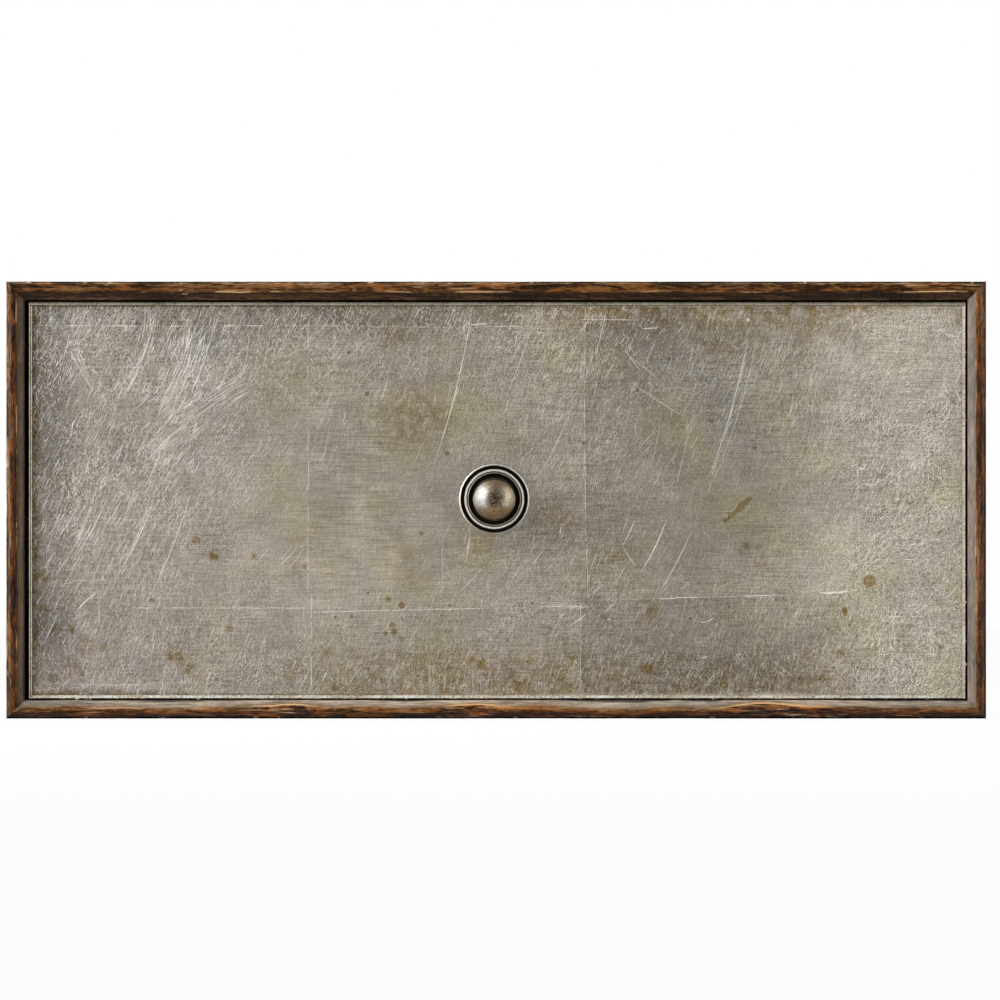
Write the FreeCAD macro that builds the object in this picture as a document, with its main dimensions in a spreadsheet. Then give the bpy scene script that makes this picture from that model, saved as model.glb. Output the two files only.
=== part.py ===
# A one-drawer nightstand case: four mitred boards round an inset drawer with a leafed front,
# which runs on a pair of full-extension ball-bearing slides.
# Millimetres. X is to the right, the front faces -Y, and Z is up. The origin is the centre of
# the case's footprint, on the plane that the case stands on.
import FreeCAD, Part
import math
import os

import Sketcher
from FreeCAD import Placement, Rotation, Vector

DRIVING_SIZES = {
    # Case
    "case_width": 500.0,
    "case_height": 223.0,
    "wall": 9.4,
    "bevel": 4.1,
    "arris_radius": 2.8,
    # Back panel and the rail that hangs the case
    "back_thickness": 6.0,
    "back_groove": 4.0,
    "back_edge_gap": 0.3,
    "panel_slack": 0.1,
    "rail_thickness": 16.0,
    "rail_height": 60.0,
    "wall_hole_spacing": 406.4,
    "wall_hole_radius": 2.75,
    "wall_hole_drop": 22.0,
    # Tongues across the mitres
    "spline_thickness": 2.0,
    "spline_width": 5.0,
    "spline_depth": 3.3,
    "spline_slack": 0.05,
    "spline_setback": 25.0,
    # Drawer front in the opening
    "side_gap": 1.5,
    "front_shift": 0.5,
    "top_gap": 1.0,
    "bottom_gap": 0.8,
    "bead_width": 1.8,
    "bead_stand": 1.0,
    "bead_rounding": 0.8,
    "leaf_thickness": 3.0,
    "leaf_reveal": 0.1,
    "core_thickness": 16.0,
    # Drawer box
    "box_thickness": 12.0,
    "box_floor_gap": 12.0,
    "box_head_gap": 32.2,
    "rear_clearance": 9.9,
    "bottom_thickness": 6.0,
    "bottom_groove": 6.0,
    "bottom_rise": 10.0,
    "bottom_edge_gap": 0.3,
    "pin_width": 8.0,
    "tail_flare": 2.0,
    # Slides
    "slide_length": 300.0,
    "slide_setback": 2.0,
    "slide_thickness": 12.7,
    "slide_height": 45.7,
    "slide_rise": 60.0,
    "gauge": 1.2,
    "lip": 1.0,
    "outer_tip_gap": 2.7,
    "middle_tip_gap": 1.8,
    "member_gap": 0.3,
    "ball_radius": 1.35,
    "ball_slack": 0.25,
    "cage_gauge": 0.5,
    "cage_length": 90.0,
    "cage_tip_gap": 1.0,
    "cage_hole_slack": 0.1,
    # Screws
    "screw_radius": 2.0,
    "screw_fit": 0.05,
    "screw_tip_gap": 0.5,
    "pan_radius": 3.5,
    "pan_height": 1.6,
    "recess_length": 3.6,
    "recess_width": 0.8,
    "recess_depth": 0.9,
    "slide_screw_length": 8.0,
    "slide_screw_spacing": 128.0,
    "rail_screw_length": 16.0,
    "rail_screw_spacing": 160.0,
    "front_screw_length": 25.0,
    "front_screw_inset": 60.0,
    "front_screw_edge": 30.0,
    # Knob
    "knob_shift": 1.0,
    "knob_lift": 0.5,
    "knob_radius": 11.0,
    "knob_reach": 24.0,
    "neck_radius": 5.5,
    "knob_hole_slack": 0.15,
    "knob_thread_reach": 8.0,
    "rose_radius": 17.9,
    "rose_rim_height": 1.9,
    "rose_rim_width": 0.9,
    "rose_groove_width": 1.4,
    "rose_groove_height": 0.9,
    "rose_bead_width": 1.6,
    "rose_bead_height": 2.6,
    "rose_line_width": 0.25,
    "rose_line_height": 1.7,
    "rose_lip_width": 0.75,
    "rose_lip_height": 2.3,
    "rose_floor_height": 1.0,
    "rose_rounding": 0.35,
    "washer_radius": 5.0,
    "washer_thickness": 1.0,
}

TAILS = 4
BALLS_IN_ROW = 4
OVERCUT = 1.0
SIN45 = math.sqrt(0.5)

doc = FreeCAD.newDocument("nightstand_case")
sheet = doc.addObject("Spreadsheet::Sheet", "Sizes")
for row, (name, number) in enumerate(DRIVING_SIZES.items(), start=1):
    sheet.set(f"A{row}", name)
    sheet.set(f"B{row}", str(number))
    sheet.setAlias(f"B{row}", name)
doc.recompute()


class Size:
    """A length that knows its value now and the expression over the sheet that gives it."""

    def __init__(self, text, value):
        self.text = text
        self.value = value

    def joined(self, other, sign, value, swap=False):
        first, second = (str(other), self.text) if swap else (self.text, str(other))
        return Size(f"({first} {sign} {second})", value)

    def __add__(self, other):
        return self.joined(other, "+", self.value + number_of(other))

    def __radd__(self, other):
        return self.joined(other, "+", number_of(other) + self.value, swap=True)

    def __sub__(self, other):
        return self.joined(other, "-", self.value - number_of(other))

    def __rsub__(self, other):
        return self.joined(other, "-", number_of(other) - self.value, swap=True)

    def __mul__(self, other):
        return self.joined(other, "*", self.value * number_of(other))

    def __rmul__(self, other):
        return self.joined(other, "*", number_of(other) * self.value, swap=True)

    def __truediv__(self, other):
        return self.joined(other, "/", self.value / number_of(other))

    def __neg__(self):
        return -1 * self

    def __str__(self):
        return self.text


def number_of(length):
    return length.value if isinstance(length, Size) else float(length)


def size(name):
    """A driving size, read from its cell."""
    return Size(f"Sizes.{name}", float(getattr(sheet, name)))


# Case and opening
case_width = size("case_width")
case_height = size("case_height")
wall = size("wall")
bevel = size("bevel")
opening_width = case_width - 2 * wall
opening_low = wall
opening_high = case_height - wall
opening_height = case_height - 2 * wall

# Depths, from the front plane of the case to its back
box_length = size("slide_length") + 2 * size("slide_setback")
bead_depth = size("bead_stand") + size("leaf_thickness")
front_stack = bevel + bead_depth + size("core_thickness")
back_stack = size("back_thickness") + size("rail_thickness")
case_depth = front_stack + box_length + size("rear_clearance") + back_stack
case_front = -case_depth / 2
case_back = case_depth / 2
bead_face = case_front + bevel
leaf_face = bead_face + size("bead_stand")
core_face = bead_face + bead_depth
box_face = case_front + front_stack
box_inside = box_face + size("box_thickness")
box_middle = box_face + box_length / 2
rail_face = case_back - size("rail_thickness")
back_face = rail_face - size("back_thickness")

# Drawer front
front_left = size("side_gap") + size("front_shift") - opening_width / 2
front_right = opening_width / 2 - size("side_gap") + size("front_shift")
front_low = opening_low + size("bottom_gap")
front_high = opening_high - size("top_gap")
bead_width = size("bead_width")

# Drawer box, and the slides that carry it
slide_thickness = size("slide_thickness")
box_thickness = size("box_thickness")
box_width = opening_width - 2 * slide_thickness
box_height = opening_height - size("box_floor_gap") - size("box_head_gap")
box_low = opening_low + size("box_floor_gap")
slide_level = box_low + size("slide_rise")

# Knob
knob_x = -1 * size("knob_shift")
knob_z = case_height / 2 + size("knob_lift")

# Screws
screw_radius = size("screw_radius")
screw_hole = screw_radius + size("screw_fit")
pan_height = size("pan_height")

parts = []


def bind(thing, path, length):
    """Ties a property to a length from the sheet."""
    thing.setExpression(path, str(length))


def place(thing, x=0, y=0, z=0, axis=Vector(0, 0, 1), angle=0):
    """Turns a sub-part and ties its place to the sheet."""
    thing.Placement = Placement(Vector(number_of(x), number_of(y), number_of(z)), Rotation(axis, angle))
    for letter, length in (("x", x), ("y", y), ("z", z)):
        if isinstance(length, Size):
            bind(thing, f".Placement.Base.{letter}", length)


def keep(thing, label):
    """Marks a finished sub-part and gives it the name of its file."""
    thing.Label = label
    parts.append(thing)
    return thing


def new_body(label):
    body = doc.addObject("PartDesign::Body", "Body")
    return keep(body, label)


def rectangle(left, right, low, high):
    return [(left, low), (right, low), (right, high), (left, high)]


def both_halves(corners):
    """An outline that is the same above and below its middle line, from its upper half."""
    return corners + [(x, -1 * z) for x, z in reversed(corners)]


def hold_point(sketch, line, end, x, y):
    """Holds a point of a sketch at its distances from the sketch's origin."""
    for kind, length in (("DistanceX", x), ("DistanceY", y)):
        rule = sketch.addConstraint(Sketcher.Constraint(kind, -1, 1, line, end, number_of(length)))
        if isinstance(length, Size):
            bind(sketch, f"Constraints[{rule}]", length)


def add_outline(sketch, corners):
    """A closed outline of straight lines, with every corner held."""
    spots = [Vector(number_of(x), number_of(y), 0) for x, y in corners]
    edges = [Part.LineSegment(a, b) for a, b in zip(spots, spots[1:] + spots[:1])]
    lines = sketch.addGeometry(edges, False)
    for before, line, (x, y) in zip(lines[-1:] + lines[:-1], lines, corners):
        sketch.addConstraint(Sketcher.Constraint("Coincident", before, 2, line, 1))
        hold_point(sketch, line, 1, x, y)


def add_circle(sketch, x, y, radius):
    centre = Vector(number_of(x), number_of(y), 0)
    line = sketch.addGeometry(Part.Circle(centre, Vector(0, 0, 1), number_of(radius)), False)
    hold_point(sketch, line, 3, x, y)
    rule = sketch.addConstraint(Sketcher.Constraint("Radius", line, number_of(radius)))
    bind(sketch, f"Constraints[{rule}]", radius)


def new_sketch(body, plane, at, outlines=(), circles=()):
    """A sketch parallel to one of the body's origin planes, where that plane's own axis reads at."""
    sketch = body.newObject("Sketcher::SketchObject", "Sketch")
    support = next(f for f in body.Origin.OriginFeatures if f.Role == plane)
    sketch.AttachmentSupport = [(support, "")]
    sketch.MapMode = "FlatFace"
    # The XZ plane's normal points to -Y
    shift = -1 * at if plane == "XZ_Plane" else at
    if isinstance(shift, Size):
        bind(sketch, ".AttachmentOffset.Base.z", shift)
    for corners in outlines:
        add_outline(sketch, corners)
    for x, y, radius in circles:
        add_circle(sketch, x, y, radius)
    return sketch


def extrude(kind, body, plane, start, end, outlines, circles):
    feature_sketch = new_sketch(body, plane, start, outlines, circles)
    feature = body.newObject(f"PartDesign::{kind}", kind)
    feature.Profile = feature_sketch
    bind(feature, "Length", end - start)
    # A pad follows the sketch's normal and a pocket goes against it
    feature.Reversed = (plane == "XZ_Plane") == (kind == "Pad")
    return feature


def add_block(body, plane, start, end, outlines=(), circles=()):
    """Adds material from start to end, which is the higher of the two."""
    extrude("Pad", body, plane, start, end, outlines, circles)
    doc.recompute()


def cut_block(body, plane, start, end, outlines=(), circles=()):
    """Removes material from start to end, and makes sure that some was there."""
    before = body.Shape.Volume
    extrude("Pocket", body, plane, start, end, outlines, circles)
    doc.recompute()
    if not body.Shape.Volume < before:
        raise RuntimeError(f"a pocket in {body.Label} removes nothing")


def round_edges(body, radius, wanted):
    """Rounds the edges of the body that wanted accepts."""
    tip = body.Tip
    edges = [f"Edge{i}" for i, edge in enumerate(tip.Shape.Edges, start=1) if wanted(edge)]
    feature = body.newObject("PartDesign::Fillet", "Fillet")
    feature.Base = (tip, edges)
    bind(feature, "Radius", radius)
    doc.recompute()


def lies_at(edge, **places):
    """True if the whole edge lies at the given x, y or z."""
    box = edge.BoundBox
    spans = {"x": (box.XMin, box.XMax), "y": (box.YMin, box.YMax), "z": (box.ZMin, box.ZMax)}
    near = 1e-4
    return all(
        abs(spans[letter][side] - number_of(length)) < near
        for letter, length in places.items()
        for side in (0, 1)
    )


def revolve_about_y(body, outline):
    """A ring or disc round the body's own Y axis, from corners given as (radius, height)."""
    sketch = new_sketch(body, "YZ_Plane", 0, [[(-1 * height, radius) for radius, height in outline]])
    feature = body.newObject("PartDesign::Revolution", "Revolution")
    feature.Profile = sketch
    feature.ReferenceAxis = (sketch, ["H_Axis"])
    feature.Angle = 360
    doc.recompute()


# Mitred case boards and the tongues in their joints

back_groove_front = back_face - size("panel_slack")
spline_front = case_front + bevel + size("spline_setback")
spline_back = back_groove_front - size("spline_setback")


def tongue_outline(x_sign, z_sign, half_width, half_height, slack):
    """The section of a tongue across one mitre, round the case's centre line."""
    across_x = half_width - wall + size("spline_depth")
    across_z = half_height - wall + size("spline_depth")
    along = (size("spline_thickness") / 2 - slack) * SIN45
    over = (size("spline_width") / 2 - slack) * SIN45
    steps = ((1, 1), (1, -1), (-1, -1), (-1, 1))
    corners = [
        (across_x + along * a + over * b, across_z + along * a - over * b) for a, b in steps
    ]
    return [(x_sign * x, z_sign * z) for x, z in corners]


def make_case_board(label, length, reach, turn):
    """One board, drawn as the top board round the case's centre line and turned to its side."""
    body = new_body(label)
    half = length / 2
    inner = reach - wall
    section = [
        (case_front, reach),
        (case_back, reach),
        (case_back, inner),
        (case_front + bevel, inner),
        (case_front, inner + bevel),
    ]
    add_block(body, "YZ_Plane", -half, half, [section])
    round_edges(body, size("arris_radius"), lambda edge: lies_at(edge, y=case_front, z=reach))
    mitres = [
        [
            (side * (half - wall - OVERCUT), inner - OVERCUT),
            (side * (half + OVERCUT), reach + OVERCUT),
            (side * (half + OVERCUT), inner - OVERCUT),
        ]
        for side in (-1, 1)
    ]
    cut_block(body, "XZ_Plane", case_front - OVERCUT, case_back + OVERCUT, mitres)
    groove_back = rail_face + size("panel_slack")
    groove = rectangle(back_groove_front, groove_back, inner - OVERCUT, inner + size("back_groove"))
    cut_block(body, "YZ_Plane", -half, half, [groove])
    slots = [tongue_outline(side, 1, half, reach, 0) for side in (-1, 1)]
    cut_block(body, "XZ_Plane", spline_front, spline_back, slots)
    place(body, z=case_height / 2, axis=Vector(0, 1, 0), angle=turn)
    return body


make_case_board("case_top", case_width, case_height / 2, 0)
make_case_board("case_bottom", case_width, case_height / 2, 180)

# Seen from its own inside face, a side board's length runs down on the right and up on the left
slide_screw_places = [size("slide_screw_spacing") * step for step in (-1, 0, 1)]
slide_middle = box_middle
slide_screw_depth = size("slide_screw_length") - size("gauge") + size("screw_tip_gap")
for label, turn, up in (("case_left", -90, 1), ("case_right", 90, -1)):
    board = make_case_board(label, case_height, case_width / 2, turn)
    level = up * (slide_level - case_height / 2)
    holes = [(level, slide_middle + offset, screw_hole) for offset in slide_screw_places]
    inside = opening_width / 2
    cut_block(board, "XY_Plane", inside, inside + slide_screw_depth, circles=holes)

tongues = new_body("mitre_splines")
tongue_slack = size("spline_slack")
tongue_sections = [
    tongue_outline(x_sign, z_sign, case_width / 2, case_height / 2, tongue_slack)
    for x_sign in (-1, 1)
    for z_sign in (-1, 1)
]
add_block(tongues, "XZ_Plane", spline_front + tongue_slack, spline_back - tongue_slack, tongue_sections)
place(tongues, z=case_height / 2)

# Back panel, and the rail behind it that carries the case on a wall

wall_hole_level = opening_high - size("wall_hole_drop")
wall_holes = [
    (size("wall_hole_spacing") / 2 * side, wall_hole_level, size("wall_hole_radius"))
    for side in (-1, 1)
]
rail_screw_level = opening_high - size("rail_height") / 2
rail_screw_spots = [(size("rail_screw_spacing") * step, rail_screw_level) for step in (-1, 0, 1)]
rail_screw_holes = [(x, z, screw_hole) for x, z in rail_screw_spots]

panel_reach = size("back_groove") - size("back_edge_gap")
back_panel = new_body("back_panel")
panel_outline = rectangle(
    -1 * (opening_width / 2 + panel_reach),
    opening_width / 2 + panel_reach,
    opening_low - panel_reach,
    opening_high + panel_reach,
)
add_block(back_panel, "XZ_Plane", back_face, rail_face, [panel_outline])
cut_block(back_panel, "XZ_Plane", back_face, rail_face, circles=wall_holes + rail_screw_holes)

hanging_rail = new_body("hanging_rail")
rail_outline = rectangle(
    -1 * opening_width / 2, opening_width / 2, opening_high - size("rail_height"), opening_high
)
add_block(hanging_rail, "XZ_Plane", rail_face, case_back, [rail_outline])
cut_block(hanging_rail, "XZ_Plane", rail_face, case_back, circles=wall_holes)
rail_hole_depth = size("rail_screw_length") - size("back_thickness") + size("screw_tip_gap")
cut_block(hanging_rail, "XZ_Plane", rail_face, rail_face + rail_hole_depth, circles=rail_screw_holes)


def make_screws(label, plane, seat, length, spots, points_up):
    """Pan-head screws with a cross recess. The heads sit on seat, and the shanks leave them
    towards the higher end of the plane's axis if points_up is true."""
    body = new_body(label)
    heads = [(x, y, size("pan_radius")) for x, y in spots]
    shanks = [(x, y, screw_radius) for x, y in spots]
    head_top = seat - pan_height if points_up else seat + pan_height
    tip = seat + length if points_up else seat - length
    recess_floor = head_top + size("recess_depth") if points_up else head_top - size("recess_depth")
    add_block(body, plane, *ordered(seat, head_top), circles=heads)
    add_block(body, plane, *ordered(seat, tip), circles=shanks)
    long, wide = size("recess_length") / 2, size("recess_width") / 2
    for reach_x, reach_y in ((long, wide), (wide, long)):
        slots = [rectangle(x - reach_x, x + reach_x, y - reach_y, y + reach_y) for x, y in spots]
        cut_block(body, plane, *ordered(head_top, recess_floor), outlines=slots)
    return body


def ordered(first, second):
    """The two places with the lower one first."""
    return (first, second) if number_of(first) < number_of(second) else (second, first)


make_screws("rail_screws", "XZ_Plane", back_face, size("rail_screw_length"), rail_screw_spots, True)

# Slides. Each piece is drawn from the left side of the case: X from the case's inside face to the
# drawer, Y and Z from the middle of the slide. It is the same from its front and its back, so the
# right-hand one is turned half round.

gauge = size("gauge")
lip = size("lip")
member_gap = size("member_gap")
cage_gauge = size("cage_gauge")
race = 2 * size("ball_radius") + 2 * size("ball_slack")
outer_half = size("slide_height") / 2
middle_half = outer_half - gauge - race
inner_half = middle_half - gauge - race
outer_row = outer_half - gauge - race / 2
inner_row = middle_half - gauge - race / 2
outer_cage_x = gauge + pan_height + member_gap
middle_x = outer_cage_x + cage_gauge + member_gap
inner_cage_x = middle_x + gauge + member_gap
inner_x = inner_cage_x + cage_gauge + member_gap
outer_tip = slide_thickness - size("outer_tip_gap")
middle_tip = slide_thickness - size("middle_tip_gap")
web_face = slide_thickness - gauge
outer_ball_x = (outer_cage_x + cage_gauge + outer_tip - gauge) / 2
inner_ball_x = (inner_x + gauge + middle_tip) / 2

outer_section = both_halves(
    [
        (0, outer_half),
        (outer_tip, outer_half),
        (outer_tip, outer_half - gauge - lip),
        (outer_tip - gauge, outer_half - gauge - lip),
        (outer_tip - gauge, outer_half - gauge),
        (gauge, outer_half - gauge),
    ]
)
middle_section = both_halves(
    [
        (middle_x, middle_half),
        (middle_tip, middle_half),
        (middle_tip, middle_half - gauge),
        (middle_x + gauge, middle_half - gauge),
    ]
)
inner_section = both_halves(
    [
        (slide_thickness, inner_half),
        (inner_x + gauge, inner_half),
        (inner_x + gauge, inner_half + lip),
        (inner_x, inner_half + lip),
        (inner_x, inner_half - gauge),
        (web_face, inner_half - gauge),
    ]
)


def cage_section(web, tip, row):
    return both_halves(
        [
            (web, row + cage_gauge / 2),
            (tip, row + cage_gauge / 2),
            (tip, row - cage_gauge / 2),
            (web + cage_gauge, row - cage_gauge / 2),
        ]
    )


def put_on_side(thing, side):
    """Puts a piece drawn for the left side, which is -1, on that side or on the other."""
    across = side * opening_width / 2
    place(thing, across, slide_middle, slide_level, angle=0 if side < 0 else 180)


def make_member(label, side, section, web_low=None):
    """One member of a slide, with screw holes where its web is screwed down."""
    body = new_body(label)
    half = size("slide_length") / 2
    add_block(body, "XZ_Plane", -half, half, [section])
    if web_low is not None:
        holes = [(offset, 0, screw_hole) for offset in slide_screw_places]
        cut_block(body, "YZ_Plane", web_low, web_low + gauge, circles=holes)
    put_on_side(body, side)


def ball_places():
    """How far each ball of a row lies from the middle of its cage."""
    pitch = size("cage_length") / BALLS_IN_ROW
    return [pitch * (i - (BALLS_IN_ROW - 1) / 2) for i in range(BALLS_IN_ROW)]


def make_cage(label, side, section, ball_x, row):
    body = new_body(label)
    half = size("cage_length") / 2
    add_block(body, "XZ_Plane", -half, half, [section])
    hole = size("ball_radius") + size("cage_hole_slack")
    holes = [(ball_x, offset, hole) for offset in ball_places()]
    reach = row + cage_gauge
    cut_block(body, "XY_Plane", -reach, reach, circles=holes)
    put_on_side(body, side)


def make_balls(label, side, ball_x, row):
    balls = []
    for offset in ball_places():
        for upper in (-1, 1):
            ball = doc.addObject("Part::Sphere", "Ball")
            bind(ball, "Radius", size("ball_radius"))
            across = side * (opening_width / 2 - ball_x)
            place(ball, across, slide_middle + offset, slide_level + upper * row)
            balls.append(ball)
    group = doc.addObject("Part::Compound", "Balls")
    group.Links = balls
    keep(group, label)


outer_cage_section = cage_section(outer_cage_x, outer_tip - size("cage_tip_gap"), outer_row)
inner_cage_section = cage_section(inner_cage_x, middle_tip, inner_row)
screw_line = [(offset, 0) for offset in slide_screw_places]

for side, hand in ((-1, "left"), (1, "right")):
    make_member(f"slide_case_{hand}", side, outer_section, 0)
    make_member(f"slide_middle_{hand}", side, middle_section)
    make_member(f"slide_drawer_{hand}", side, inner_section, web_face)
    make_cage(f"outer_cage_{hand}", side, outer_cage_section, outer_ball_x, outer_row)
    make_cage(f"inner_cage_{hand}", side, inner_cage_section, inner_ball_x, inner_row)
    make_balls(f"outer_balls_{hand}", side, outer_ball_x, outer_row)
    make_balls(f"inner_balls_{hand}", side, inner_ball_x, inner_row)
    slide_screw_length = size("slide_screw_length")
    case_screws = make_screws(
        f"case_screws_{hand}", "YZ_Plane", gauge, slide_screw_length, screw_line, False
    )
    put_on_side(case_screws, side)
    drawer_screws = make_screws(
        f"drawer_screws_{hand}", "YZ_Plane", web_face, slide_screw_length, screw_line, True
    )
    put_on_side(drawer_screws, side)

# Drawer box. Tails on the sides take pins on the front and the back.

box_bottom_z = -1 * size("slide_rise")
box_top_z = box_height - size("slide_rise")
shoulder = box_length / 2 - box_thickness
tail_pitch = box_height / TAILS
tail_end = (tail_pitch - size("pin_width")) / 2
tail_root = tail_end - size("tail_flare")
groove_low = size("bottom_rise")
groove_high = groove_low + size("bottom_thickness") + size("panel_slack")
groove_depth = size("bottom_groove")


def tail_corners(low, end):
    """The corners of each tail from low upwards, at the end of the board towards +Y or -Y."""
    corners = []
    for i in range(TAILS):
        middle = low + tail_pitch * (i + 0.5)
        corners.append(
            [
                (end * shoulder, middle - tail_root),
                (end * box_length / 2, middle - tail_end),
                (end * box_length / 2, middle + tail_end),
                (end * shoulder, middle + tail_root),
            ]
        )
    return corners


def make_drawer_side(label, side):
    body = new_body(label)
    rising = [corner for tail in tail_corners(box_bottom_z, 1) for corner in tail]
    falling = [corner for tail in tail_corners(box_bottom_z, -1) for corner in tail]
    outline = [
        (shoulder, box_bottom_z),
        *rising,
        (shoulder, box_top_z),
        (-1 * shoulder, box_top_z),
        *reversed(falling),
        (-1 * shoulder, box_bottom_z),
    ]
    inner_face = slide_thickness + box_thickness
    add_block(body, "YZ_Plane", slide_thickness, inner_face, [outline])
    groove = rectangle(
        inner_face - groove_depth,
        inner_face + OVERCUT,
        box_bottom_z + groove_low,
        box_bottom_z + groove_high,
    )
    cut_block(body, "XZ_Plane", -box_length / 2, box_length / 2, [groove])
    holes = [(offset, 0, screw_hole) for offset in slide_screw_places]
    cut_block(body, "YZ_Plane", slide_thickness, slide_thickness + slide_screw_depth, circles=holes)
    put_on_side(body, side)


def make_box_end(label, turn):
    """The drawer box's front, or its back, which is the same board turned half round."""
    body = new_body(label)
    half = box_width / 2
    outline = rectangle(-half, half, 0, box_height)
    add_block(body, "XZ_Plane", -box_length / 2, -1 * shoulder, [outline])
    tails = tail_corners(0, -1)
    cut_block(body, "YZ_Plane", -half, box_thickness - half, tails)
    cut_block(body, "YZ_Plane", half - box_thickness, half, tails)
    groove = rectangle(-1 * shoulder - groove_depth, OVERCUT - shoulder, groove_low, groove_high)
    cut_block(body, "YZ_Plane", -half, half, [groove])
    place(body, 0, box_middle, box_low, angle=turn)
    return body


make_drawer_side("drawer_side_left", -1)
make_drawer_side("drawer_side_right", 1)
box_front = make_box_end("drawer_box_front", 0)
make_box_end("drawer_back", 180)

front_screw_x = box_width / 2 - size("front_screw_inset")
front_screw_levels = (
    box_low + size("front_screw_edge"),
    box_low + box_height - size("front_screw_edge"),
)
front_screw_spots = [(side * front_screw_x, level) for side in (-1, 1) for level in front_screw_levels]
knob_hole = screw_radius + size("knob_hole_slack")
box_front_holes = [(x, level - box_low, screw_hole) for x, level in front_screw_spots]
box_front_holes.append((knob_x, knob_z - box_low, knob_hole))
cut_block(box_front, "XZ_Plane", -box_length / 2, -1 * shoulder, circles=box_front_holes)

drawer_bottom = new_body("drawer_bottom")
bottom_reach = groove_depth - size("bottom_edge_gap")
bottom_x = box_width / 2 - box_thickness + bottom_reach
bottom_y = shoulder + bottom_reach
bottom_low = box_low + groove_low
bottom_outline = rectangle(-bottom_x, bottom_x, box_middle - bottom_y, box_middle + bottom_y)
add_block(
    drawer_bottom, "XY_Plane", bottom_low, bottom_low + size("bottom_thickness"), [bottom_outline]
)

# Drawer front: a core board, the leafed panel, and a half-round bead on each edge

drawer_front = new_body("drawer_front")
front_outline = rectangle(front_left, front_right, front_low, front_high)
add_block(drawer_front, "XZ_Plane", core_face, box_face, [front_outline])
cut_block(drawer_front, "XZ_Plane", core_face, box_face, circles=[(knob_x, knob_z, knob_hole)])
front_hole_depth = size("front_screw_length") - box_thickness + size("screw_tip_gap")
cut_block(
    drawer_front,
    "XZ_Plane",
    box_face - front_hole_depth,
    box_face,
    circles=[(x, level, screw_hole) for x, level in front_screw_spots],
)
make_screws(
    "front_screws", "XZ_Plane", box_inside, size("front_screw_length"), front_screw_spots, False
)

leaf_panel = new_body("leaf_panel")
leaf_inset = bead_width + size("leaf_reveal")
leaf_outline = rectangle(
    front_left + leaf_inset,
    front_right - leaf_inset,
    front_low + leaf_inset,
    front_high - leaf_inset,
)
add_block(leaf_panel, "XZ_Plane", leaf_face, core_face, [leaf_outline])
cut_block(leaf_panel, "XZ_Plane", leaf_face, core_face, circles=[(knob_x, knob_z, knob_hole)])


def make_bead(label, left, right, low, high):
    """A strip along one edge, rounded on both of its long front edges."""
    body = new_body(label)
    add_block(body, "XZ_Plane", bead_face, core_face, [rectangle(left, right, low, high)])
    upright = number_of(high - low) > number_of(right - left)
    letter, sides = ("x", (left, right)) if upright else ("z", (low, high))
    round_edges(
        body,
        size("bead_rounding"),
        lambda edge: any(lies_at(edge, y=bead_face, **{letter: side}) for side in sides),
    )


make_bead("bead_top", front_left, front_right, front_high - bead_width, front_high)
make_bead("bead_left", front_left, front_left + bead_width, front_low, front_high - bead_width)
make_bead("bead_right", front_right - bead_width, front_right, front_low, front_high - bead_width)
make_bead(
    "bead_bottom",
    front_left + bead_width,
    front_right - bead_width,
    front_low,
    front_low + bead_width,
)

# Knob: a ringed rose, a ball head on a short neck, and the screw through the drawer front

rim_inner = size("rose_radius") - size("rose_rim_width")
ring_outer = rim_inner - size("rose_groove_width")
ring_inner = ring_outer - size("rose_bead_width")
line_inner = ring_inner - size("rose_line_width")
lip_inner = line_inner - size("rose_lip_width")
rose_steps = [
    (size("rose_radius"), size("rose_rim_height")),
    (rim_inner, size("rose_groove_height")),
    (ring_outer, size("rose_bead_height")),
    (ring_inner, size("rose_line_height")),
    (line_inner, size("rose_lip_height")),
    (lip_inner, size("rose_floor_height")),
]
rose_outline = [(knob_hole, 0), (size("rose_radius"), 0)]
for (outer, height), (inner, next_height) in zip(rose_steps, rose_steps[1:]):
    rose_outline += [(outer, height), (inner, height)]
rose_outline += [(lip_inner, size("rose_floor_height")), (knob_hole, size("rose_floor_height"))]

knob_rose = new_body("knob_rose")
revolve_about_y(knob_rose, rose_outline)
crest_heights = {
    number_of(size(name)) for name in ("rose_rim_height", "rose_bead_height", "rose_lip_height")
}
round_edges(
    knob_rose,
    size("rose_rounding"),
    lambda edge: any(lies_at(edge, y=-height) for height in crest_heights),
)
place(knob_rose, knob_x, leaf_face, knob_z)

ball_centre = leaf_face - size("knob_reach") + size("knob_radius")
neck_seat = leaf_face - size("rose_floor_height")
knob_ball = doc.addObject("Part::Sphere", "KnobBall")
bind(knob_ball, "Radius", size("knob_radius"))
place(knob_ball, knob_x, ball_centre, knob_z)

knob_neck = doc.addObject("Part::Cylinder", "KnobNeck")
bind(knob_neck, "Radius", size("neck_radius"))
bind(knob_neck, "Height", neck_seat - ball_centre)
place(knob_neck, knob_x, neck_seat, knob_z, Vector(1, 0, 0), 90)

knob_blank = doc.addObject("Part::MultiFuse", "KnobBlank")
knob_blank.Shapes = [knob_ball, knob_neck]

knob_bore = doc.addObject("Part::Cylinder", "KnobBore")
bind(knob_bore, "Radius", screw_hole)
bind(knob_bore, "Height", size("knob_thread_reach") + size("screw_tip_gap") + OVERCUT)
place(knob_bore, knob_x, neck_seat + OVERCUT, knob_z, Vector(1, 0, 0), 90)

knob_head = doc.addObject("Part::Cut", "KnobHead")
knob_head.Base = knob_blank
knob_head.Tool = knob_bore
keep(knob_head, "knob_head")

washer_face = box_inside + size("washer_thickness")
knob_washer = new_body("knob_washer")
washer_ring = [(knob_x, knob_z, size("washer_radius")), (knob_x, knob_z, knob_hole)]
add_block(knob_washer, "XZ_Plane", box_inside, washer_face, circles=washer_ring)

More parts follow.
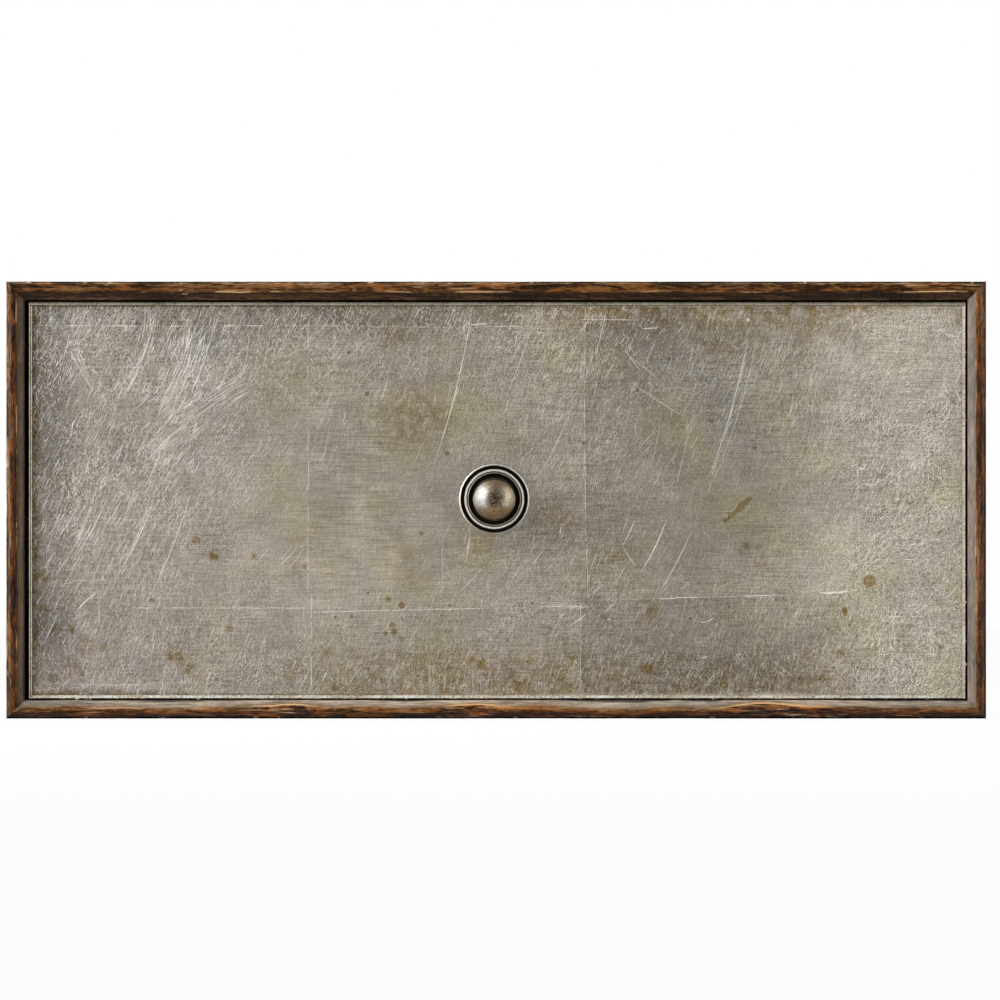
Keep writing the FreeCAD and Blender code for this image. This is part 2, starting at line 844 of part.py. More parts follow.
knob_screw_length = washer_face - neck_seat + size("knob_thread_reach")
make_screws("knob_screw", "XZ_Plane", washer_face, knob_screw_length, [(knob_x, knob_z)], False)

# Check everything, then write one file per sub-part

doc.recompute()
failed = [thing.Label for thing in doc.Objects if {"Invalid", "Error"} & set(thing.State)]
failed += [thing.Label for thing in parts if thing.Shape.isNull() or not thing.Shape.isValid()]
if failed:
    raise RuntimeError(f"failed: {failed}")

os.makedirs("parts", exist_ok=True)
for thing in parts:
    thing.Shape.exportStep(f"parts/{thing.Label}.step")
    box = thing.Shape.BoundBox
    print(
        f"{thing.Label:20} {len(thing.Shape.Solids):3} solids {thing.Shape.Volume:12.1f} mm3  "
        f"x {box.XMin:8.2f} {box.XMax:8.2f}  y {box.YMin:8.2f} {box.YMax:8.2f}  "
        f"z {box.ZMin:8.2f} {box.ZMax:8.2f}"
    )
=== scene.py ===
"""Looks for a nightstand case: a mitred walnut case with one silver-leafed drawer."""

import math
import random
from collections import namedtuple
from functools import reduce

import bmesh
import bpy
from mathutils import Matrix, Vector, geometry, noise


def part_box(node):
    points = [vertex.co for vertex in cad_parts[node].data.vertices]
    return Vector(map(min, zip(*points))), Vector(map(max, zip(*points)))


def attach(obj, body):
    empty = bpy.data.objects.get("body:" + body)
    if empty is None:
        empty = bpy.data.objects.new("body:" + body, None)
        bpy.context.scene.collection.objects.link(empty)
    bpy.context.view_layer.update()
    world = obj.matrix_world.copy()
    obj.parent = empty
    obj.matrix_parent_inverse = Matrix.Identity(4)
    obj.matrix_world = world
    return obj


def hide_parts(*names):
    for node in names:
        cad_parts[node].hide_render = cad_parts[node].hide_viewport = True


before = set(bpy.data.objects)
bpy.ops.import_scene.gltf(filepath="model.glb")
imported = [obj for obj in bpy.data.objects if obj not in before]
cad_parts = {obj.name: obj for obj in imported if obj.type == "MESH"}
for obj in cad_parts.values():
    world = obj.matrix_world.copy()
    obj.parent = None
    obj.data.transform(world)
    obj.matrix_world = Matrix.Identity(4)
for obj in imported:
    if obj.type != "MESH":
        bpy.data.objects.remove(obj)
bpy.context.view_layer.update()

# Places on the front are written in units of a grid laid over it: u to the right, v down.
UNIT = 0.0005102
GRID_CENTRE = 496.2
GRID_FOOT = 718.4

FACE = -0.1749  # y of the leafed face
FACE_TOP, FACE_LOW = 307.2, 693.0  # the rows between which strokes start and end
KNOB_X, KNOB_Z = -0.0010, 0.1120  # the knob's axis
HOLE_RADIUS = 0.0025  # of the hole for the knob's screw
MM = 0.001


def on_front(u, v):
    """The x and z, in metres, of a grid place on the front."""
    return (u - GRID_CENTRE) * UNIT, (GRID_FOOT - v) * UNIT


def front_place(co):
    """The grid place of a point on the front."""
    return co.x / UNIT + GRID_CENTRE, GRID_FOOT - co.z / UNIT


def tint(red, green, blue):
    """A colour written as 0 to 255, as the linear colour that shaders take."""
    def linear(value):
        value /= 255.0
        return value / 12.92 if value <= 0.04045 else ((value + 0.055) / 1.055) ** 2.4
    return (linear(red), linear(green), linear(blue), 1.0)


def smooth_step(low, high, value):
    """From 0 at low to 1 at high, with soft ends."""
    share = min(1.0, max(0.0, (value - low) / (high - low)))
    return share * share * (3.0 - 2.0 * share)


# Materials

class Number:
    """A number that varies over a surface. Arithmetic on it adds nodes to its material."""

    def __init__(self, paint, socket):
        self.paint = paint
        self.socket = socket

    def __add__(self, other):
        return self.paint.math("ADD", self, other)

    def __sub__(self, other):
        return self.paint.math("SUBTRACT", self, other)

    def __rsub__(self, other):
        return self.paint.math("SUBTRACT", other, self)

    def __mul__(self, other):
        return self.paint.math("MULTIPLY", self, other)

    def __truediv__(self, other):
        return self.paint.math("DIVIDE", self, other)

    def __abs__(self):
        return self.paint.math("ABSOLUTE", self)


class Paint:
    """One procedural material, and short calls that add its nodes."""

    def __init__(self, name):
        self.material = bpy.data.materials.new(name)
        self.material.use_nodes = True
        self.tree = self.material.node_tree
        self.shader = self.tree.nodes["Principled BSDF"]

    def feed(self, socket, value):
        """Links a socket, or sets a plain value."""
        if isinstance(value, Number):
            value = value.socket
        if isinstance(value, bpy.types.NodeSocket):
            self.tree.links.new(value, socket)
        else:
            socket.default_value = value

    def node(self, kind, settings=None, **inputs):
        """Adds a node with its settings and its named inputs."""
        made = self.tree.nodes.new(kind)
        for key, value in (settings or {}).items():
            setattr(made, key, value)
        for key, value in inputs.items():
            self.feed(made.inputs[key], value)
        return made

    def place(self):
        """The place on the part, in metres."""
        return self.node("ShaderNodeTexCoord").outputs["Object"]

    def parts(self, vector):
        """The x, y and z of a vector."""
        split = self.node("ShaderNodeSeparateXYZ", Vector=vector)
        return [Number(self, socket) for socket in split.outputs]

    def join(self, x, y, z):
        """A vector from three numbers."""
        return self.node("ShaderNodeCombineXYZ", X=x, Y=y, Z=z).outputs[0]

    def attribute(self, name):
        """A number kept on the mesh."""
        made = self.node("ShaderNodeAttribute", {"attribute_name": name})
        return Number(self, made.outputs["Fac"])

    def map(self, vector, scale, turn=(0.0, 0.0, 0.0), shift=(0.0, 0.0, 0.0)):
        """A place turned, then stretched: a large scale on an axis makes fine detail along it."""
        turned = self.node("ShaderNodeVectorRotate", {"rotation_type": "EULER_XYZ"},
                           Vector=vector, Rotation=turn).outputs[0]
        made = self.node("ShaderNodeMapping", Vector=turned, Scale=scale, Location=shift)
        return made.outputs[0]

    def noise(self, vector, scale=1.0, detail=3.0, rough=0.5, bend=0.0):
        """Cloudy noise from 0 to 1."""
        made = self.node("ShaderNodeTexNoise", Vector=vector, Scale=scale, Detail=detail,
                         Roughness=rough, Distortion=bend)
        return Number(self, made.outputs["Fac"])

    def streaks(self, vector, scale, detail=3.0, rough=0.5, bend=0.0, shift=(0.0, 0.0, 0.0)):
        """Noise with a scale of its own on each axis."""
        return self.noise(self.map(vector, scale, shift=shift), 1.0, detail, rough, bend)

    def scattered(self, vector, scale, shift=(0.0, 0.0, 0.0)):
        """Distance to the nearest of many scattered points."""
        made = self.node("ShaderNodeTexVoronoi", Vector=self.map(vector, scale, shift=shift),
                         Scale=1.0)
        return Number(self, made.outputs["Distance"])

    def ticks(self, place, size, angle, swing, width, few):
        """Short thin strokes on the front, one in each cell of a size in metres."""
        x, _, z = self.parts(place)
        flat = self.join(x / size, z / size, 0.0)
        cell = self.node("ShaderNodeTexVoronoi", {"voronoi_dimensions": "2D"}, Vector=flat,
                         Scale=1.0)
        away = self.node("ShaderNodeVectorMath", {"operation": "SUBTRACT"})
        self.feed(away.inputs[0], flat)
        self.feed(away.inputs[1], cell.outputs["Position"])
        first, second, third = self.parts(cell.outputs["Color"])
        turned = self.node("ShaderNodeVectorRotate", {"rotation_type": "Z_AXIS"},
                           Vector=away.outputs[0], Angle=(first - 0.5) * -swing - angle)
        along, across, _ = self.parts(turned.outputs[0])
        bow = along * along * (second * 0.8 - 0.4)
        line = (self.spread(abs(across + bow), width / size, 0.3 * width / size)
                * self.spread(abs(along), 0.55, 0.25))
        return line * self.spread(third, few, 1.0)

    def math(self, kind, *values):
        """One arithmetic step."""
        made = self.node("ShaderNodeMath", {"operation": kind})
        for socket, value in zip(made.inputs, values):
            self.feed(socket, value)
        return Number(self, made.outputs[0])

    def larger(self, first, second):
        """The larger of two numbers."""
        return self.math("MAXIMUM", first, second)

    def smaller(self, first, second):
        """The smaller of two numbers."""
        return self.math("MINIMUM", first, second)

    def reach(self, x, y):
        """The length of a step of x to the side and y upwards."""
        return self.math("SQRT", x * x + y * y)

    def spread(self, value, low, high, to_low=0.0, to_high=1.0):
        """Value taken from low..high to another range, with soft ends."""
        made = self.node("ShaderNodeMapRange", {"interpolation_type": "SMOOTHSTEP"}, Value=value)
        for key, number in (("From Min", low), ("From Max", high),
                            ("To Min", to_low), ("To Max", to_high)):
            self.feed(made.inputs[key], number)
        return Number(self, made.outputs["Result"])

    def mix(self, share, first, second, kind="MIX"):
        """A colour mixed from two."""
        made = self.node("ShaderNodeMix", {"data_type": "RGBA", "blend_type": kind})
        self.feed(made.inputs[0], share)
        self.feed(made.inputs[6], first)
        self.feed(made.inputs[7], second)
        return made.outputs[2]

    def scale(self, colour, amount):
        """A colour made lighter or darker."""
        return self.node("ShaderNodeVectorMath", {"operation": "SCALE"},
                         Vector=colour, Scale=amount).outputs[0]

    def ramp(self, value, *stops):
        """A colour from a number, through the given stops."""
        made = self.node("ShaderNodeValToRGB", Fac=value)
        band = made.color_ramp
        while len(band.elements) < len(stops):
            band.elements.new(0.5)
        for element, (where, colour) in zip(band.elements, stops):
            element.position = where
            element.color = colour
        return made.outputs["Color"]

    def finish(self, colour, roughness, height=None, depth=0.0001, strength=1.0, **plain):
        """Sets the shader: colour, roughness, relief in metres and plain values."""
        self.feed(self.shader.inputs["Base Color"], colour)
        self.feed(self.shader.inputs["Roughness"], roughness)
        for key, value in plain.items():
            self.shader.inputs[key.replace("_", " ")].default_value = value
        if height is not None:
            relief = self.node("ShaderNodeBump", Height=height, Strength=strength, Distance=depth)
            self.feed(self.shader.inputs["Normal"], relief.outputs[0])
        return self.material


RUBBING = (
    # turn, scale along and across the strokes, where they start and end to show, and the
    # shift that keeps each layer apart
    (1.12, 90.0, 1500.0, 0.57, 0.70, 11.0), (0.92, 130.0, 1700.0, 0.57, 0.70, 23.0),
    (1.32, 110.0, 1400.0, 0.59, 0.71, 37.0), (2.30, 190.0, 1600.0, 0.61, 0.72, 51.0),
)

PALE_TICKS = (
    # cell size, angle, swing of the angle, width and share left out of each layer
    (0.0090, 1.12, 0.35, 0.00016, 0.35), (0.0058, 1.18, 0.5, 0.00015, 0.30),
    (0.0036, 1.12, 0.6, 0.00015, 0.30), (0.0022, 1.10, 1.0, 0.00015, 0.35),
    (0.0024, 2.00, 1.2, 0.00014, 0.50), (0.0015, 1.30, 1.8, 0.00015, 0.35),
)
DARK_TICKS = ((0.0024, 1.12, 0.9, 0.00017, 0.35), (0.0014, 1.30, 1.8, 0.00016, 0.40))


class LeafPaint(Paint):
    """Squares of silver-coloured leaf, rubbed with a cloth, scratched and stained, with painted
    light and shade kept on the mesh.
    """

    def __init__(self):
        super().__init__("rubbed_silver_leaf")
        self.at = self.place()
        self.x = self.parts(self.at)[0]
        self.rubbed = self.attribute("rubbed")
        self.grain = self.noise(self.at, 2300.0, 1.0, 0.5)
        self.cloud = self.noise(self.at, 55.0, 5.0, 0.6, 0.6)

    def weave(self):
        """The cloth's cross-hatch: short level and upright strokes."""
        level = self.streaks(self.at, (60.0, 1.0, 1500.0), 2.0, 0.6)
        upright = self.streaks(self.at, (1700.0, 1.0, 110.0), 2.0, 0.6, shift=(3.0, 0.0, 7.0))
        patches = self.noise(self.at, 16.0, 3.0, 0.55)
        crossed = level * 1.35 + upright * 0.65 - 1.0
        return crossed * self.spread(patches, 0.36, 0.60, 0.45, 1.0)

    def rubbing(self):
        """Rubbing strokes in several directions, each over its own part of the face."""
        drift = self.node("ShaderNodeTexNoise", Vector=self.at, Scale=9.0, Detail=1.0)
        bent = self.node("ShaderNodeVectorMath", {"operation": "MULTIPLY_ADD"})
        for socket, value in zip(bent.inputs, (drift.outputs["Color"], (0.035, 0.0, 0.035),
                                               self.at)):
            self.feed(socket, value)
        layers = []
        for turn, along, scale, low, high, part in RUBBING:
            vector = self.map(bent.outputs[0], (along, 1.0, scale), (0.0, turn, 0.0),
                              (part, 0.0, part * 0.7))
            line = self.spread(self.noise(vector, detail=2.5, rough=0.65), low, high)
            where = self.streaks(self.at, (14.0, 1.0, 14.0), 1.0, shift=(part, 0.0, 0.0))
            layers.append(line * self.spread(where, 0.42, 0.62, 0.12, 1.0))
        return reduce(Number.__add__, layers) * self.rubbed

    def cloth_ticks(self):
        """Short pale and dark ticks: steep on most of the face, swirled at its right."""
        swirl = (self.spread(self.x, 0.14, 0.19)
                 * (self.noise(self.at, 30.0, 1.0) * 5.0 - 2.5))
        patches = self.noise(self.at, 62.0, 3.0, 0.6)
        dense = (self.spread(self.rubbed, 0.40, 1.15, 0.12, 1.0)
                 * self.spread(patches, 0.36, 0.62, 0.30, 1.0)
                 * self.spread(self.x, 0.16, 0.20, 1.0, 1.5))
        layered = []
        for table in (PALE_TICKS, DARK_TICKS):
            layers = [self.ticks(self.at, size, swirl + angle, swing, width, few)
                      for size, angle, swing, width, few in table]
            layered.append(reduce(self.larger, layers) * dense)
        return self.smaller(layered[0], 1.0), layered[1]

    def base(self, weave, dusk):
        """The leaf's colour with its broad and fine changes of tone. The broad tone kept on the
        mesh holds painted light and shade.
        """
        light = self.attribute("tone") * self.attribute("square")
        for source, amount in ((weave, 1.15), ((self.grain - 0.5) * self.rubbed, 2.9),
                               (dusk, -0.85), (self.cloud - 0.5, 0.45),
                               (self.noise(self.at, 9.0, 2.0, 0.5) - 0.5, 0.22)):
            light = light * (source * amount + 1.0)
        warm = (self.spread(self.noise(self.at, 24.0, 4.0, 0.6), 0.40, 0.74)
                * self.spread(self.x, -0.19, -0.09, 0.35, 1.0))
        plain = self.mix(self.spread(self.x, -0.20, -0.06), tint(146, 137, 128),
                         tint(144, 136.6, 125.4))
        return self.scale(self.mix(warm, plain, tint(143, 135, 109)), light)

    def stain(self):
        """How brown the leaf is: cloudy stains, small dots, a thin haze and sharp spots, and the
        painted shade along the top and left edges that the mesh keeps.
        """
        tarnish = self.attribute("tarnish")
        dots = (self.spread(self.scattered(self.at, (290.0, 1.0, 290.0), (5.0, 0.0, 2.0)),
                            0.21, 0.13)
                * self.spread(tarnish, 0.06, 0.34, 0.0, 0.65)
                * self.spread(self.noise(self.at, 150.0, 2.0), 0.46, 0.56))
        blotch = self.spread(self.noise(self.at, 210.0, 4.0, 0.65), 0.36, 0.60, 0.25, 1.45)
        stain = self.smaller(self.larger(tarnish * blotch, dots), 0.95)
        haze = self.spread(self.noise(self.at, 30.0, 6.0, 0.7), 0.52, 0.78) * 0.30
        ragged = self.spread(self.noise(self.at, 520.0, 4.0, 0.7), 0.34, 0.50, 0.65, 1.05)
        return self.larger(self.larger(stain, haze), self.attribute("spot") * ragged)

    def speck(self):
        """Fine bright specks."""
        near = self.scattered(self.at, (420.0, 1.0, 420.0))
        return (self.spread(near, 0.15, 0.07)
                * self.spread(self.noise(self.at, 260.0, 1.0), 0.56, 0.64))

    def held(self, value):
        """A number kept from 0 to 1."""
        return self.smaller(self.larger(value, 0.0), 1.0)

    def make(self):
        """The material, from all its layers."""
        weave, strokes = self.weave(), self.rubbing()
        pale, dusk = self.cloth_ticks()
        hatch = self.larger(self.smaller(strokes * 0.42, 0.7), pale)
        colour = self.mix(hatch, self.base(weave, dusk), tint(250, 247, 240))
        stain = self.stain()
        colour = self.mix(stain, colour, (0.51, 0.36, 0.14, 1.0), "MULTIPLY")
        mark = self.attribute("mark")
        bright = self.larger(mark, self.speck() * 0.65)
        colour = self.mix(self.held(bright), colour, tint(238, 235, 226))
        colour = self.mix(self.held(mark * -1.0), colour, tint(52, 40, 26))
        rough = self.spread(self.cloud, 0.3, 0.7, 0.36, 0.50) + stain * 0.2
        height = weave * 0.5 + (self.grain - strokes * 0.6)
        return self.finish(colour, rough, height, 0.00003, 0.5, Metallic=0.55)


BEAD_FOOT, BEAD_SIDE = -0.1751, -0.1757  # y where a bead meets the panel, and just above


def bead_paint_and_light(name, light, dip, line=None, cool=0.0):
    """Leafed edge strip, rubbed bright. Its light level is painted light, set per bead by how it
    faces the lamps, with painted shade where it meets the panel, and on two beads along a line in
    x.
    """
    paint = Paint("leaf_on_" + name)
    place = paint.place()
    side, depth, _ = paint.parts(place)
    grain = paint.noise(place, 900.0, 3.0, 0.6)
    long_mark = paint.streaks(place, (60.0, 1.0, 60.0), 5.0, 0.7)
    colour = paint.ramp(grain * 0.5 + long_mark * 0.5, (0.30, tint(104, 88, 62)),
                        (0.46, tint(160, 150, 128)), (0.66, tint(206, 198, 180)))
    colour = paint.mix(cool, colour, (0.92, 1.0, 1.22, 1.0), "MULTIPLY")
    # Painted light: each bead's brightness set by how it faces the lamps.
    colour = paint.scale(colour, light)
    # Painted shade in the crease where the bead meets the panel, and along a line in x between its
    # highlights.
    low = paint.spread(depth, BEAD_SIDE, BEAD_FOOT) * dip
    if line is not None:
        low = paint.larger(low, paint.spread(abs(side - line), 0.00045, 0.00015))
    colour = paint.mix(low * 0.75, colour, tint(74, 58, 38))
    return paint.finish(colour, paint.spread(grain, 0.3, 0.7, 0.26, 0.42), grain, 0.00004, 0.4,
                        Metallic=0.7)


def grey(level):
    """A neutral colour, written as the linear value that shaders take."""
    return (level, level, level, 1)


class WalnutPaint(Paint):
    """Dark polished walnut, rubbed through to orange and tan along its front edges.

    The front runs from the board's outer line over the rubbed face to the bevel, with its own
    colours on each board; these also hold painted light and shade, lighter on the bottom and right
    bevels that face the lamps and darker on the top board. The mesh says how far across each place
    is, in millimetres.
    """

    def __init__(self, name):
        super().__init__("rubbed_walnut_" + name)
        self.along, self.across, self.front, self.side = [
            self.attribute(key) for key in ("along", "across", "front", "side")]
        self.rub, self.swell, self.rugged = [
            self.attribute(key) for key in ("rub", "swell", "rugged")]
        self.back = self.parts(self.place())[1]
        # Grain runs along each board. The side number keeps the four boards apart.
        self.grain = self.join(self.along + self.side * 3.0, self.back, self.across * MM)
        self.pores = self.streaks(self.grain, (70.0, 1500.0, 1500.0), 3.0, 0.6)
        self.streak = self.streaks(self.grain, (22.0, 520.0, 560.0), 6.0, 0.72, 0.6)
        # The line between the rubbed face and the bevel wavers, and swells in places.
        sway = self.noise(self.join(self.along + self.side * 5.0, 0.0, 0.0), 28.0, 4.0, 0.6)
        sway = (sway - 0.5) * self.attribute("waver") + self.swell
        self.at = self.across - sway * self.spread(self.across, 1.0, 4.0)
        self.bevel = self.spread(self.at, 5.1, 5.5) * self.front
        self.open_face = self.spread(self.at, 5.4, 4.8) * self.spread(self.across, 0.4, 1.2)

    def patches(self, scale, shift, low, high, extra=None):
        """Ragged patches drawn out along the grain."""
        made = self.streaks(self.grain, scale, 5.0, 0.7, shift=(shift, 0.0, 0.0))
        if extra is not None:
            made = made + extra
        return self.spread(made, low, high)

    def wood(self):
        """The outside of the board: dark figured wood with pores and light scuffs."""
        figure = self.streaks(self.grain, (7.0, 60.0, 130.0), 6.0, 0.62, 1.2)
        wood = self.ramp(figure, (0.30, tint(30, 18, 11)), (0.46, tint(62, 40, 24)),
                         (0.60, tint(84, 55, 33)), (0.74, tint(108, 76, 47)))
        wood = self.mix(self.spread(self.pores, 0.56, 0.72, 0.0, 0.55), wood, tint(24, 14, 9))
        scuff = (self.patches((34.0, 420.0, 420.0), 6.0, 0.60, 0.68)
                 * self.spread(self.noise(self.grain, 11.0, 3.0, 0.6), 0.44, 0.62))
        return self.mix(scuff * 0.55, wood, tint(146, 110, 72))

    def wear(self):
        """How far the front is rubbed through, from dark lines to bare wood."""
        mottle = self.streaks(self.grain, (42.0, 200.0, 380.0), 6.0, 0.68, 0.8)
        fleck = self.streaks(self.grain, (240.0, 1100.0, 1000.0), 4.0, 0.65)
        worn = mottle * 0.42 + self.streak * 0.28 + fleck * 0.30
        return worn * 4.3 - 1.655 + self.rub * 0.13

    def rubbed_face(self, worn, calm, stops):
        """The board's colours, with their painted light and shade, streaked on the rubbed face and
        polished on the bevel.
        """
        flame = self.ramp(worn, (0.36, (0.03, 0.025, 0.02, 1)), (0.45, (0.13, 0.11, 0.09, 1)),
                          (0.53, (0.30, 0.26, 0.20, 1)), (0.62, (0.52, 0.45, 0.34, 1)),
                          (0.76, (0.98, 1.0, 0.98, 1)))
        flame = self.mix(self.rugged, grey(0.25), flame)
        film = self.streaks(self.grain, (120.0, 700.0, 900.0), 4.0, 0.6)
        polish = self.ramp(film, (0.30, grey(0.12)), (0.50, grey(0.25)), (0.70, grey(0.39)))
        slow = self.streaks(self.grain, (16.0, 40.0, 90.0), 3.0, 0.6)
        polish = self.scale(polish, self.spread(slow, 0.32, 0.68, 0.74, 1.24))
        change = self.mix(self.bevel * calm, flame, polish)
        profile = self.ramp(self.at / 10.0, *stops)
        face = self.scale(self.mix(1.0, profile, change, "MULTIPLY"), 4.0)
        rich = self.spread(self.at, 5.6, 4.6) * self.front
        return self.mix(rich, face, (1.03, 0.94, 0.78, 1.0), "MULTIPLY")

    def worn_patches(self, face):
        """Orange, black and bare patches on the rubbed face."""
        rough_face = self.open_face * self.rugged
        ember = self.patches((60.0, 300.0, 330.0), 4.0, 0.50, 0.62) * rough_face
        face = self.mix(ember * 0.6, face, tint(146, 84, 36))
        char = self.patches((95.0, 420.0, 420.0), 9.0, 0.57, 0.62,
                            self.larger(self.swell, 0.0) * 0.022) * rough_face
        face = self.mix(char * 0.85, face, tint(24, 14, 8))
        bare = (self.patches((30.0, 600.0, 800.0), 2.0, 0.58, 0.64) * self.open_face
                * self.spread(self.rub, -0.2, 0.9, 0.15, 0.75))
        return self.mix(bare, face, tint(196, 166, 126))

    def pale_lines(self, face):
        """Bare wood along the bevel's edge, and small chips on the outer line."""
        broken = self.streaks(self.grain, (34.0, 60.0, 60.0), 4.0, 0.65)
        line = (self.spread(abs(self.at - 5.25), 0.50, 0.10) * self.spread(broken, 0.50, 0.62)
                * self.spread(self.rub, -0.4, 0.9, 0.25, 0.80))
        crest = self.spread(abs(self.at - 5.4), 0.60, 0.15) * self.spread(self.swell, 0.3, 1.6)
        face = self.mix(self.larger(line, crest * 0.8), face, tint(212, 172, 124))
        chips = self.streaks(self.grain, (150.0, 90.0, 90.0))
        outer = (self.spread(self.across, 1.3, 0.2) * self.spread(self.back, -0.1765, -0.1785)
                 * self.spread(chips, 0.60, 0.66))
        return self.mix(outer * 0.8, face, tint(176, 160, 138))

    def nicks(self, colour):
        """Small nicks, dark with a pale bruise beside them."""
        near = self.scattered(self.grain, (95.0, 240.0, 240.0))
        few = self.spread(self.noise(self.grain, 60.0, 2.0), 0.60, 0.66) * self.front
        bruise = self.spread(near, 0.20, 0.14) * few
        colour = self.mix(bruise * 0.5, colour, tint(188, 168, 140))
        return self.mix(self.spread(near, 0.16, 0.08) * few, colour, tint(24, 15, 10))

    def make(self, calm, gloss, stops):
        """The material, from all its layers."""
        worn = self.wear()
        face = self.rubbed_face(worn, calm, stops)
        face = self.pale_lines(self.worn_patches(face))
        colour = self.nicks(self.mix(self.front, self.wood(), face))
        open_pores = self.spread(self.pores, 0.5, 0.7)
        rim = self.spread(self.across, 0.3, 1.6)
        rough = self.spread(worn, 0.40, 0.66, 0.26, 0.48) + open_pores * 0.08 - self.bevel * 0.10
        rough = rough * rim + self.spread(self.across, 0.3, 1.6, 0.9, 0.0)
        self.feed(self.shader.inputs["Specular IOR Level"], rim * gloss)
        height = self.streak * 0.8 - open_pores * 0.5
        return self.finish(colour, rough, height, 0.00025, 0.6)


def wood_paint(name, dark, middle, light, turn=(0.0, 0.0, 0.0)):
    """Plain wood with the grain along x, turned to the piece's own length."""
    paint = Paint(name)
    place = paint.map(paint.place(), (1.0, 1.0, 1.0), turn)
    figure = paint.streaks(place, (9.0, 90.0, 90.0), 5.0, 0.6, 1.4)
    pores = paint.streaks(place, (45.0, 1300.0, 1300.0), 3.0, 0.6)
    cloud = paint.noise(place, 14.0, 3.0, 0.5)
    colour = paint.ramp(figure, (0.32, dark), (0.50, middle), (0.68, light))
    colour = paint.mix(paint.spread(pores, 0.55, 0.72, 0.0, 0.45), colour, dark)
    colour = paint.scale(colour, paint.spread(cloud, 0.3, 0.7, 0.86, 1.12))
    return paint.finish(colour, paint.spread(figure, 0.3, 0.7, 0.48, 0.62), pores, 0.0001, 0.5)


def ply_paint():
    """Thin plywood with a fine straight grain."""
    paint = Paint("birch_plywood")
    place = paint.place()
    figure = paint.streaks(place, (5.0, 70.0, 48.0), 5.0, 0.6, 1.8)
    pores = paint.streaks(place, (30.0, 900.0, 900.0), 3.0, 0.6)
    colour = paint.ramp(figure, (0.30, tint(176, 144, 100)), (0.52, tint(202, 172, 128)),
                        (0.72, tint(218, 194, 154)))
    colour = paint.mix(paint.spread(pores, 0.56, 0.72, 0.0, 0.4), colour, tint(140, 106, 66))
    return paint.finish(colour, paint.spread(figure, 0.3, 0.7, 0.5, 0.64), pores, 0.0001, 0.4)


def metal_paint(name, dark, light, roughness, fine=(1400.0, 40.0, 1400.0)):
    """Plated or bare steel: drawn lines along y and soft blotches."""
    paint = Paint(name)
    place = paint.place()
    drawn = paint.streaks(place, fine, 3.0, 0.6)
    blotch = paint.noise(place, 70.0, 4.0, 0.6)
    colour = paint.mix(paint.spread(blotch, 0.35, 0.65), dark, light)
    colour = paint.scale(colour, paint.spread(drawn, 0.3, 0.7, 0.90, 1.08))
    return paint.finish(colour, paint.spread(blotch, 0.3, 0.7, *roughness), drawn, 0.00003, 0.4,
                        Metallic=1.0)


